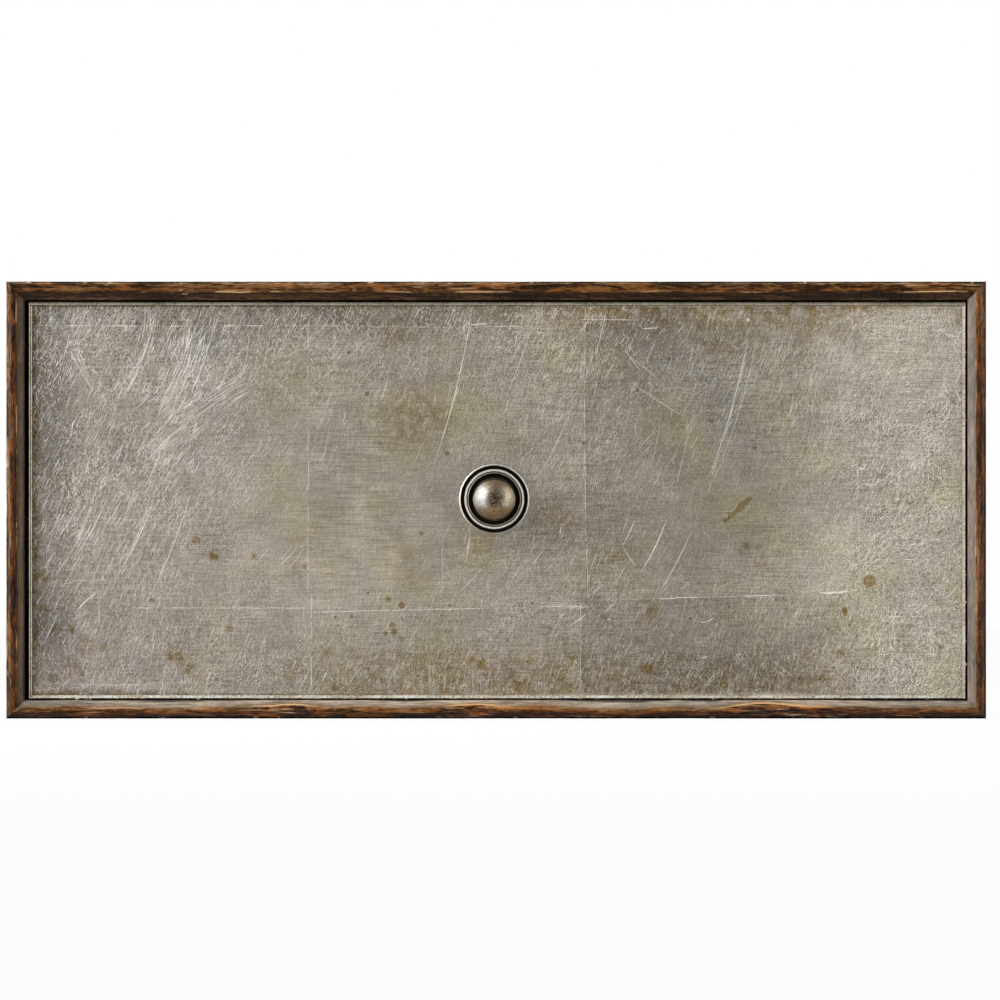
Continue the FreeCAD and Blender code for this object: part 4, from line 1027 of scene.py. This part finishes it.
def seam_lengths(draw, start, end, shown):
    """The lengths of one straight part of a seam."""
    way = end - start
    upright = abs(way.y) > abs(way.x)
    at = 0.0
    while at < way.length:
        stop = min(way.length, at + draw.uniform(3, 16))
        if stop - at > SHORTEST_SEAM:
            light = BRIGHT_SEAM if draw.random() < shown else DULL_SEAM
            bright = draw.uniform(*light)
            sway = draw.uniform(-0.3, 0.3)
            first, last = [start + way * (place / way.length) + Vector((sway, sway))
                           for place in (at, stop)]
            line = curve_points(first.x, first.y, last.x, last.y, 0.0, 3)
            wide = draw.uniform(0.20, 0.32) if upright else draw.uniform(0.28, 0.46)
            yield strip(line, wide, False), bright
        at = stop + draw.uniform(0.2, 3.0 if upright else 1.2)


def flecks(draw):
    """Tiny bright and dark flecks, most where the cloth rubbed hard."""
    for _ in range(FLECKS):
        u, v = draw.uniform(36, 960), draw.uniform(306, 694)
        if draw.random() > 0.35 + 0.65 * rub_field(u, v):
            continue
        size = draw.uniform(0.10, 0.34)
        turn = draw.uniform(0, math.pi)
        ring = ragged_ring(draw, grid_mm(u, v), size, 6, 0.6, 1.2, turn)
        bright = draw.random() < 0.62
        yield ring, draw.uniform(0.5, 1.0) if bright else -draw.uniform(0.4, 0.9)


def face_strokes():
    """Every scratch, seam and fleck of the face: an outline and how bright or dark it is."""
    draw = random.Random(41)
    return [*line_strokes(), *sweep_strokes(draw), *bundle_strokes(draw), *seam_strokes(draw),
            *flecks(draw)]


def spot_rings():
    """A ragged round outline for each strong spot and for small dots, and its strength."""
    draw = random.Random(19)
    for u, v, radius, strength in SPOTS:
        if has_outline(radius, strength):
            yield ragged_ring(draw, grid_mm(u, v), radius * UNIT / MM, 14, 0.92, 1.05), strength
    for _ in range(DOTS):
        u, v = draw.uniform(40, 955), draw.uniform(306, 692)
        if draw.random() > 0.22 + 0.78 * smooth_step(560, 680, v):
            continue
        reach = draw.uniform(0.22, 0.80)
        yield ragged_ring(draw, grid_mm(u, v), reach, 8, 0.8, 1.1), draw.uniform(0.55, 1.0)


def inside_panel(ring, low, high, edge=0.4):
    """True if every point of a ring is on the panel and clear of its edges."""
    return all(low.x / MM + edge < p.x < high.x / MM - edge
               and low.z / MM + edge < p.y < high.z / MM - edge for p in ring)


def face_outlines(low, high):
    """What the face is cut along: outlines, how bright each is inside, and how brown."""
    outlines = [(ring, mark, 0.0) for ring, mark in face_strokes()]
    outlines += [(ring, 0.0, brown) for ring, brown in spot_rings()]
    outlines += [(anticlockwise([grid_mm(u, v) for u, v in places]), mark, brown)
                 for places, brown, mark in BLOTS]
    return [outline for outline in outlines if inside_panel(outline[0], low, high)]


def even_points(low, high):
    """Points spread over the panel, each a little off its place in the rows."""
    draw = random.Random(7)
    for column in range(1, PANEL_COLUMNS):
        for row in range(1, PANEL_ROWS):
            right = (column + draw.uniform(-0.3, 0.3)) / PANEL_COLUMNS
            up = (row + draw.uniform(-0.3, 0.3)) / PANEL_ROWS
            yield Vector(((low.x + (high.x - low.x) * right) / MM,
                          (low.z + (high.z - low.z) * up) / MM))


def spot_points(low, high):
    """Points on and round each spot."""
    for u, v, radius, _ in SPOTS:
        for share in (0.0, 0.45, 0.9, SPOT_REACH):
            for k in range(1 if share == 0.0 else 12):
                angle = k * math.tau / 12
                place = grid_mm(u + radius * share * math.cos(angle),
                                v + radius * share * math.sin(angle))
                if inside_panel([place], low, high, 0.6):
                    yield place


def left_points(low):
    """Points in close columns at the left edge, where the tone and its painted shade fall off
    fast.
    """
    for row in range(1, 66):
        for offset in (0.6, 1.3, 2.2, 4.0, 6.5):
            yield Vector((low.x / MM + offset, low.z / MM + 3.0 * row))


def cut_front(bm, points, rings, outlines):
    """Fills the panel's front, with the mark, spot and square numbers on its faces."""
    points, _, faces, _, _, origins = geometry.delaunay_2d_cdt(points, [], rings, 0, JOIN_GAP)
    verts = [bm.verts.new((p.x * MM, FACE, p.y * MM)) for p in points]
    layers = bm.faces.layers.float
    for key in ("mark", "spot", "square"):
        layers.new(key)
    mark_layer, spot_layer, square_layer = layers["mark"], layers["spot"], layers["square"]
    for corners, origin in zip(faces, origins):
        if KNOB_HOLE in origin:
            continue
        face = bm.faces.new([verts[i] for i in corners])
        face[mark_layer] = max((outlines[i][1] for i in origin), key=abs, default=0.0)
        face[spot_layer] = max((outlines[i][2] for i in origin), default=0.0)
        face[square_layer] = square_tone(*front_place(face.calc_center_median()))
    bmesh.ops.delete(bm, geom=[v for v in bm.verts if not v.link_faces], context="VERTS")
    for face in bm.faces:
        if face.normal.y > 0:
            face.normal_flip()


def close_plate(bm, back):
    """Gives a flat front its side walls and its back, so that it is a closed plate."""
    rim = [edge for edge in bm.edges if edge.is_boundary]
    made = bmesh.ops.extrude_edge_only(bm, edges=rim)["geom"]
    moved = [item for item in made if isinstance(item, bmesh.types.BMVert)]
    for vert in moved:
        vert.co.y = back
    index = {vert: number for number, vert in enumerate(moved)}
    pairs = [(index[item.verts[0]], index[item.verts[1]]) for item in made
             if isinstance(item, bmesh.types.BMEdge)
             and item.verts[0] in index and item.verts[1] in index]
    flat = [Vector((vert.co.x / MM, vert.co.z / MM)) for vert in moved]
    _, _, faces, origins, _, _ = geometry.delaunay_2d_cdt(flat, pairs, [], 2, JOIN_GAP)
    for corners in faces:
        verts = [moved[origins[i][0]] for i in corners]
        middle = sum((v.co for v in verts), Vector()) / len(verts)
        if math.hypot(middle.x - KNOB_X, middle.z - KNOB_Z) > HOLE_RADIUS - 0.1 * MM:
            bm.faces.new(verts)
    bmesh.ops.recalc_face_normals(bm, faces=bm.faces)


def set_numbers(mesh, name, values):
    """Keeps one number for each vertex of a mesh."""
    mesh.attributes.new(name, "FLOAT", "POINT").data.foreach_set("value", values)


def leaf_panel():
    """The leafed panel: a closed plate whose front is cut along every stroke and seam."""
    low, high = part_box("leaf_panel")
    middle = Vector((KNOB_X / MM, KNOB_Z / MM))
    hole = [middle + Vector((math.cos(turn), math.sin(turn))) * (HOLE_RADIUS / MM)
            for turn in (k * math.tau / 24 for k in range(24))]
    outlines = [(hole, 0.0, 0.0), *face_outlines(low, high)]
    points = [Vector((x / MM, z / MM)) for x, z in
              ((low.x, low.z), (high.x, low.z), (high.x, high.z), (low.x, high.z))]
    rings = []
    for ring, _, _ in outlines:
        rings.append(list(range(len(points), len(points) + len(ring))))
        points += ring
    points += [*even_points(low, high), *spot_points(low, high), *left_points(low)]
    bm = bmesh.new()
    cut_front(bm, points, rings, outlines)
    close_plate(bm, high.y)
    mesh = bpy.data.meshes.new("leaf_front")
    bm.to_mesh(mesh)
    bm.free()
    places = [front_place(vertex.co) for vertex in mesh.vertices]
    for name, field in (("tone", face_tone_and_light), ("tarnish", face_stain_and_shade), ("rubbed", rub_field)):
        set_numbers(mesh, name, [field(u, v) for u, v in places])
    return add_piece("leaf_front", mesh, LeafPaint().make(), "drawer", "silver_leaf", "leaf_panel")


def add_piece(name, mesh, material, body, slot, *nodes):
    """Adds a piece that rides on a body and stands for the named nodes."""
    piece = bpy.data.objects.new(name, mesh)
    bpy.context.scene.collection.objects.link(piece)
    mesh.materials.clear()
    mesh.materials.append(material)
    if nodes:
        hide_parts(*nodes)
    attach(piece, body)
    return piece


FLAKES = (
    # side, place along it (u or v), length in mm, and reach over the gap in mm
    ("low", 77, 2.6, 0.5), ("low", 86, 1.5, 0.4), ("low", 90, 1.0, 0.55), ("low", 198, 1.6, 0.5),
    ("low", 231, 1.2, 0.45), ("low", 262, 0.9, 0.4), ("low", 352, 0.8, 0.3),
    ("low", 406, 0.9, 0.45), ("low", 455, 0.7, 0.4), ("low", 581, 1.0, 0.45),
    ("low", 596, 0.9, 0.35), ("low", 676, 0.7, 0.4), ("low", 713, 1.1, 0.55),
    ("low", 823, 0.7, 0.3), ("low", 927, 0.8, 0.45), ("right", 602, 1.4, 0.5),
    ("right", 664, 1.6, 0.7), ("right", 641, 0.8, 0.4), ("right", 575, 0.7, 0.35),
    ("right", 420, 0.9, 0.4), ("right", 352, 0.8, 0.35),
)


def flake_ring(draw, low, high, side, place, length, reach):
    """The outline of one flake across the lower or the right gap, as x and z in metres."""
    for k in range(FLAKE_CORNERS):
        turn = k * math.tau / FLAKE_CORNERS
        along = math.cos(turn) * length / 2 * draw.uniform(0.7, 1.0) * MM
        over = (math.sin(turn) * 0.5 + 0.5) * draw.uniform(0.7, 1.0) * (reach + 0.5) * MM
        if side == "low":
            yield on_front(place, 0)[0] + along, low.z - reach * MM + over
        else:
            yield high.x + reach * MM - over, on_front(0, place)[1] + along


def leaf_flakes(material):
    """Loose bits of leaf that cross the thin gap round the drawer, each a closed chip."""
    draw = random.Random(23)
    low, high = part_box("drawer_front")
    bm = bmesh.new()
    crumbs = [("low", draw.uniform(40, 955), draw.uniform(0.35, 1.0), draw.uniform(0.15, 0.45))
              for _ in range(CRUMBS)]
    for flake in (*FLAKES, *crumbs):
        ring = list(flake_ring(draw, low, high, *flake))
        near, far = [[bm.verts.new((x, depth, z)) for x, z in ring]
                     for depth in (FLAKE_FRONT, FLAKE_BACK)]
        bm.faces.new(near)
        bm.faces.new(far[::-1])
        for k in range(FLAKE_CORNERS):
            bm.faces.new((near[k], near[k - 1], far[k - 1], far[k]))
    bmesh.ops.recalc_face_normals(bm, faces=bm.faces)
    mesh = bpy.data.meshes.new("leaf_flakes")
    bm.to_mesh(mesh)
    bm.free()
    return add_piece("leaf_flakes", mesh, material, "drawer", "silver_leaf")


# The case boards

Board = namedtuple("Board", (
    "name", "along_x", "outward", "side", "waver", "calm", "gloss", "rugged",
    "rubs",     # rubbed places: u or v, reach, and how much
    "swells",   # places where the rubbed face is wider: u or v, reach, and how many mm
    "colours",  # the colours of the front, with painted light and shade: mm from the outer line inwards, red, green, blue
))

# Each board's colours hold painted light and shade: the bottom and right bevels lighter, the top
# board and its bevel darker.
BOARDS = (
    Board("case_top", True, 1, 0.0, 2.6, 0.35, 0.14, 0.8,
          ((265, 60, 1.0), (480, 70, 1.0), (530, 26, -1.6), (940, 40, 1.0), (120, 50, -0.3),
           (700, 70, 0.1)),
          (),
          ((0.0, 30, 23, 18), (0.8, 74, 61, 48), (2.0, 58, 41, 24), (4.3, 67, 44, 19),
           (5.4, 42, 25, 8), (7.6, 44, 27, 13), (9.0, 58, 43, 28))),
    Board("case_bottom", True, -1, 1.0, 4.0, 0.85, 0.24, 0.55,
          ((67, 9, -1.8), (120, 40, 0.4), (300, 60, 0.5), (470, 34, 1.0), (590, 30, 1.1),
           (840, 120, 0.6)),
          ((285, 38, 1.7), (345, 18, 0.5), (475, 32, 1.9), (540, 26, 0.7), (635, 30, -0.8),
           (764, 36, 2.4), (815, 30, 0.9), (712, 14, -0.6), (885, 25, -0.5), (80, 30, 0.6),
           (170, 30, -0.5)),
          ((0.0, 6, 4, 3), (0.7, 18, 11, 6), (2.2, 35, 18, 7), (3.6, 76, 47, 21),
           (5.3, 98, 69, 41), (6.1, 128, 110, 91), (7.6, 142, 130, 116), (8.7, 142, 132, 118),
           (9.2, 70, 60, 50))),
    Board("case_left", False, -1, 2.0, 1.4, 0.85, 0.14, 0.7,
          ((400, 60, 0.2), (515, 26, 1.0), (590, 34, -0.9), (660, 30, 0.6)),
          (),
          ((0.0, 78, 68, 58), (0.9, 76, 61, 46), (2.4, 56, 36, 20), (3.9, 42, 21, 8),
           (5.0, 34, 16, 6), (5.7, 66, 45, 27), (7.0, 88, 67, 47), (8.4, 84, 68, 52),
           (8.9, 28, 20, 14))),
    Board("case_right", False, 1, 3.0, 2.4, 0.85, 0.20, 0.6,
          ((330, 40, 0.5), (430, 50, -0.5), (560, 70, 0.6)),
          (),
          ((0.0, 30, 23, 18), (0.9, 52, 37, 24), (2.4, 63, 39, 18), (4.2, 72, 45, 20),
           (5.0, 78, 52, 28), (5.5, 104, 88, 72), (7.6, 110, 98, 88))),
)
BEVEL_TOP = 5.3        # from a board's outer face to its bevel, in mm
BEVEL_REACH = 0.5      # how far on each side of that line the bevel's edge is worn, in mm
WORN_REACH = 3.2       # how far in from the outer face the round outer edge is worn, in mm
CUT_DEPTH = -0.170     # the part of a board ahead of this y is cut finely
CUT_STEP = 0.0022      # the length of its cuts
WORN_DEPTH = -0.1715   # the part ahead of this y is worn
FRONT_DEPTH = -0.1745  # the part ahead of this y has the colours of the front
EDGE_DEPTH = -0.1785   # the bevel's edge is ahead of this y
CORNER = math.radians(28)  # edges that turn more than this stay sharp


class BoardPlace:
    """Where a place is on a board: how far along it and how far across its front."""

    def __init__(self, board):
        low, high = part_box(board.name)
        self.board = board
        self.length, self.cross = (0, 2) if board.along_x else (2, 0)
        self.outer = (high if board.outward > 0 else low)[self.cross]
        self.start, self.end = low[self.length], high[self.length]

    def along(self, co):
        """How far along the board a place is, in metres."""
        return co[self.length]

    def across(self, co):
        """How far in from the board's outer face a place is, in millimetres."""
        return abs(self.outer - co[self.cross]) / MM

    def summed(self, co, rows):
        """The sum at a place of rows that each fade away from their middle."""
        at = front_place(co)[0 if self.board.along_x else 1]
        return sum(amount * math.exp(-((at - middle) / reach) ** 2)
                   for middle, reach, amount in rows)


def cut_board(bm, place):
    """Cuts the front part of a board into short lengths."""
    everything = bm.verts[:] + bm.edges[:] + bm.faces[:]
    bmesh.ops.bisect_plane(bm, geom=everything, plane_co=(0, CUT_DEPTH, 0), plane_no=(0, 1, 0))
    ahead = [face for face in bm.faces if face.calc_center_median().y < CUT_DEPTH]
    normal = Vector((0, 0, 0))
    normal[place.length] = 1.0
    count = int((place.end - place.start) / CUT_STEP)
    for step in range(1, count):
        where = normal * (place.start + (place.end - place.start) * step / count)
        edges = {edge for face in ahead for edge in face.edges}
        verts = {vert for face in ahead for vert in face.verts}
        made = bmesh.ops.bisect_plane(bm, geom=[*verts, *edges, *ahead], plane_co=where,
                                      plane_no=normal)["geom"]
        ahead = [item for item in made if isinstance(item, bmesh.types.BMFace)
                 and place.along(item.calc_center_median()) > where[place.length]]


def wear_vertex(co, place):
    """Moves one front vertex a little into the board, as a hand-worn edge is."""
    if co.y > WORN_DEPTH:
        return
    along, across = place.along(co), place.across(co)
    outward, side = place.board.outward, place.board.side
    calm = smooth_step(0.004, 0.012, min(along - place.start, place.end - along))
    slow = noise.noise(Vector((along * 45, side * 7.3, across * 0.12)))
    quick = noise.noise(Vector((along * 190, side * 3.1 + 9.0, across * 0.3)))
    if across < WORN_REACH:
        dent = max(0.0, (-0.03 + 0.22 * slow + 0.14 * quick) * MM * calm)
        co[place.cross] -= outward * dent * smooth_step(WORN_REACH, 0.6, across)
        co.y += dent * 0.5 * smooth_step(0.0, 1.6, across)
    elif abs(across - BEVEL_TOP) < BEVEL_REACH:
        shift = (0.42 * slow + 0.18 * quick) * MM * calm
        co[place.cross] -= outward * shift
        co.y += max(0.0, 0.10 + 0.3 * slow) * MM * calm + max(0.0, shift)


def smooth_board(bm, place):
    """Rounds the look of the faces, but keeps the board's real corners sharp."""
    bmesh.ops.recalc_face_normals(bm, faces=bm.faces)
    for edge in bm.edges:
        sharp = len(edge.link_faces) == 2 and edge.calc_face_angle(0) > CORNER
        middle = (edge.verts[0].co + edge.verts[1].co) / 2
        at_bevel = 4.2 < place.across(middle) < 6.6 and middle.y < EDGE_DEPTH
        edge.smooth = not sharp or at_bevel
    for face in bm.faces:
        face.smooth = True


def number_board(mesh, place):
    """Keeps on the mesh the numbers that the polish reads."""
    board = place.board
    spots = [vertex.co for vertex in mesh.vertices]
    swelled = [place.summed(co, board.swells) for co in spots]
    set_numbers(mesh, "along", [place.along(co) for co in spots])
    set_numbers(mesh, "across", [place.across(co) for co in spots])
    set_numbers(mesh, "front", [float(co.y < FRONT_DEPTH) for co in spots])
    set_numbers(mesh, "side", [board.side] * len(spots))
    set_numbers(mesh, "waver", [board.waver] * len(spots))
    set_numbers(mesh, "rub", [place.summed(co, board.rubs) for co in spots])
    set_numbers(mesh, "swell", swelled)
    set_numbers(mesh, "rugged", [board.rugged + (1.0 - board.rugged) * smooth_step(0.2, 1.2, width)
                                 for width in swelled])


def worn_board(board):
    """A copy of a board with wavering front edges, and the numbers its polish reads."""
    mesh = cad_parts[board.name].data.copy()
    mesh.name = board.name + "_worn"
    place = BoardPlace(board)
    bm = bmesh.new()
    bm.from_mesh(mesh)
    bmesh.ops.remove_doubles(bm, verts=bm.verts, dist=1e-6)
    cut_board(bm, place)
    for vert in bm.verts:
        wear_vertex(vert.co, place)
    smooth_board(bm, place)
    bm.to_mesh(mesh)
    bm.free()
    if mesh.has_custom_normals:
        mesh.attributes.remove(mesh.attributes["custom_normal"])
    number_board(mesh, place)
    stops = [(at / 10.0, tint(*colour)) for at, *colour in board.colours]
    material = WalnutPaint(board.name).make(board.calm, board.gloss, stops)
    return add_piece(board.name + "_worn", mesh, material, "case", "walnut", board.name)


# Floor, light and camera

def add_floor():
    """A pale floor that reads as white behind the part but keeps its shadow."""
    bpy.ops.mesh.primitive_plane_add(size=14.0, location=(0, 0, -0.0003))
    floor = bpy.context.object
    floor.name = "floor"
    paint = Paint("pale_floor")
    paint.finish((0.55, 0.55, 0.54, 1), 0.8)
    glow = paint.node("ShaderNodeEmission", Color=(1, 1, 1, 1), Strength=1.0)
    rays = paint.node("ShaderNodeLightPath").outputs
    camera, mirrored, through = [Number(paint, rays[key]) for key in (
        "Is Camera Ray", "Is Glossy Ray", "Is Transmission Ray")]
    seen = paint.larger(camera, paint.larger(mirrored * 0.4, through))
    blend = paint.node("ShaderNodeMixShader")
    for socket, value in zip(blend.inputs, (seen * 0.95, paint.shader.outputs[0],
                                            glow.outputs[0])):
        paint.feed(socket, value)
    paint.feed(paint.tree.nodes["Material Output"].inputs["Surface"], blend.outputs[0])
    floor.data.materials.append(paint.material)


def set_world():
    """White behind the part; a dimmer room in front of it lights and is reflected."""
    world = bpy.data.worlds.new("studio")
    bpy.context.scene.world = world
    world.use_nodes = True
    tree = world.node_tree
    back = tree.nodes["Background"]
    place = tree.nodes.new("ShaderNodeTexCoord")
    split = tree.nodes.new("ShaderNodeSeparateXYZ")
    tree.links.new(place.outputs["Generated"], split.inputs[0])
    room = tree.nodes.new("ShaderNodeMapRange")
    room.interpolation_type = "SMOOTHSTEP"
    for key, value in (("From Min", -0.35), ("From Max", 0.25), ("To Min", 0.12), ("To Max", 1.0)):
        room.inputs[key].default_value = value
    tree.links.new(split.outputs["Y"], room.inputs["Value"])
    rays = tree.nodes.new("ShaderNodeLightPath")
    level = tree.nodes.new("ShaderNodeMix")
    level.inputs["B"].default_value = 1.0
    tree.links.new(rays.outputs["Is Camera Ray"], level.inputs["Factor"])
    tree.links.new(room.outputs["Result"], level.inputs["A"])
    tree.links.new(level.outputs["Result"], back.inputs["Strength"])
    back.inputs["Color"].default_value = (1, 1, 1, 1)


def add_lamp(name, place, target, size, power):
    """A soft rectangular lamp that points at a target."""
    light = bpy.data.lights.new(name, "AREA")
    light.shape = "RECTANGLE"
    light.size, light.size_y = size
    light.energy = power
    lamp = bpy.data.objects.new(name, light)
    lamp.location = place
    lamp.rotation_euler = (Vector(target) - Vector(place)).to_track_quat("-Z", "Y").to_euler()
    bpy.context.scene.collection.objects.link(lamp)


def add_camera():
    """A long lens straight on to the front."""
    lens = bpy.data.cameras.new("camera")
    distance, frame_width, film = 10.0, 0.5102, 36.0
    lens.sensor_width = film
    lens.lens = film * distance / frame_width
    lens.clip_end = 60.0
    camera = bpy.data.objects.new("camera", lens)
    camera.location = (0.00194, -0.18 - distance, on_front(0, 499.8)[1])
    camera.rotation_euler = (math.radians(90), 0, 0)
    bpy.context.scene.collection.objects.link(camera)
    bpy.context.scene.camera = camera


# What each node is made of

NODE_LOOKS = (
    # a part of the node's name, and its look; the first that fits counts
    ("bead_left", "bead_left"), ("bead_right", "bead_right"), ("bead_top", "bead_top"),
    ("bead_bottom", "bead_bottom"), ("knob_rose", "pewter"), ("knob_head", "pewter"),
    ("slide", "zinc"), ("cage", "cage"), ("balls", "ball"), ("screw", "screw"),
    ("knob_washer", "screw"), ("drawer_side", "maple_y"), ("drawer_box_front", "maple_x"),
    ("drawer_back", "maple_x"), ("back_panel", "ply"), ("drawer_bottom", "ply"),
    ("mitre_splines", "spline"), ("", "poplar"),
)


def metal_looks():
    """The plated and bare steel of the hardware, and the knob's pewter."""
    return {
        "zinc": metal_paint("black_zinc_plate", tint(34, 36, 40), tint(56, 58, 62), (0.34, 0.48)),
        "cage": metal_paint("cage_steel", tint(120, 122, 126), tint(160, 162, 166),
                            (0.30, 0.46)),
        "screw": metal_paint("screw_plate", tint(120, 112, 92), tint(178, 168, 140),
                             (0.30, 0.46), fine=(900.0, 900.0, 900.0)),
        "ball": metal_paint("ball_steel", tint(196, 198, 202), tint(222, 224, 228),
                            (0.08, 0.14)),
        "pewter": PewterPaint().make(),
    }


def wood_looks():
    """The woods behind the front. A quarter turn lays the grain along y."""
    quarter = (0.0, 0.0, math.pi / 2)
    pale = (tint(168, 132, 88), tint(196, 162, 116), tint(214, 184, 142))
    dark = (tint(70, 46, 28), tint(108, 74, 46), tint(138, 100, 66))
    middling = (tint(140, 112, 74), tint(172, 144, 100), tint(190, 166, 124))
    return {
        "maple_x": wood_paint("maple_across", *pale),
        "maple_y": wood_paint("maple_deep", *pale, turn=quarter),
        "poplar": wood_paint("poplar_core", *middling),
        "spline": wood_paint("spline_wood", *dark, turn=quarter),
        "ply": ply_paint(),
    }


def bead_looks():
    """The leaf on the four beads, each with its own painted light level and painted shade at its
    foot. Two have painted shade along a line in x.
    """
    return {
        "bead_left": bead_paint_and_light("bead_left", 1.05, 1.0, -0.2378),
        "bead_right": bead_paint_and_light("bead_right", 1.75, 0.7, 0.2381, cool=0.5),
        "bead_top": bead_paint_and_light("bead_top", 0.78, 1.0),
        "bead_bottom": bead_paint_and_light("bead_bottom", 2.1, 0.1, cool=0.6),
    }


def paint_nodes():
    """Gives every CAD node its own material."""
    looks = {**metal_looks(), **wood_looks(), **bead_looks()}
    for name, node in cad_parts.items():
        look = next(look for text, look in NODE_LOOKS if text in name)
        for slot in node.material_slots:
            slot.material = looks[look]


paint_nodes()
leaf_panel()
leaf_flakes(bead_paint_and_light("flakes", 1.5, 0.0))
for board in BOARDS:
    worn_board(board)

add_floor()
set_world()
add_lamp("key_left", (-1.7, -0.95, 1.0), (0, -0.1, 0.1), (2.0, 2.2), 78)
add_lamp("fill_right", (1.8, -1.0, 0.8), (0, -0.1, 0.1), (1.8, 1.9), 26)
add_lamp("top_back", (0.0, 0.5, 2.0), (0, 0.0, 0.1), (1.8, 0.8), 16)
add_camera()
bpy.context.scene.view_settings.view_transform = "Standard"
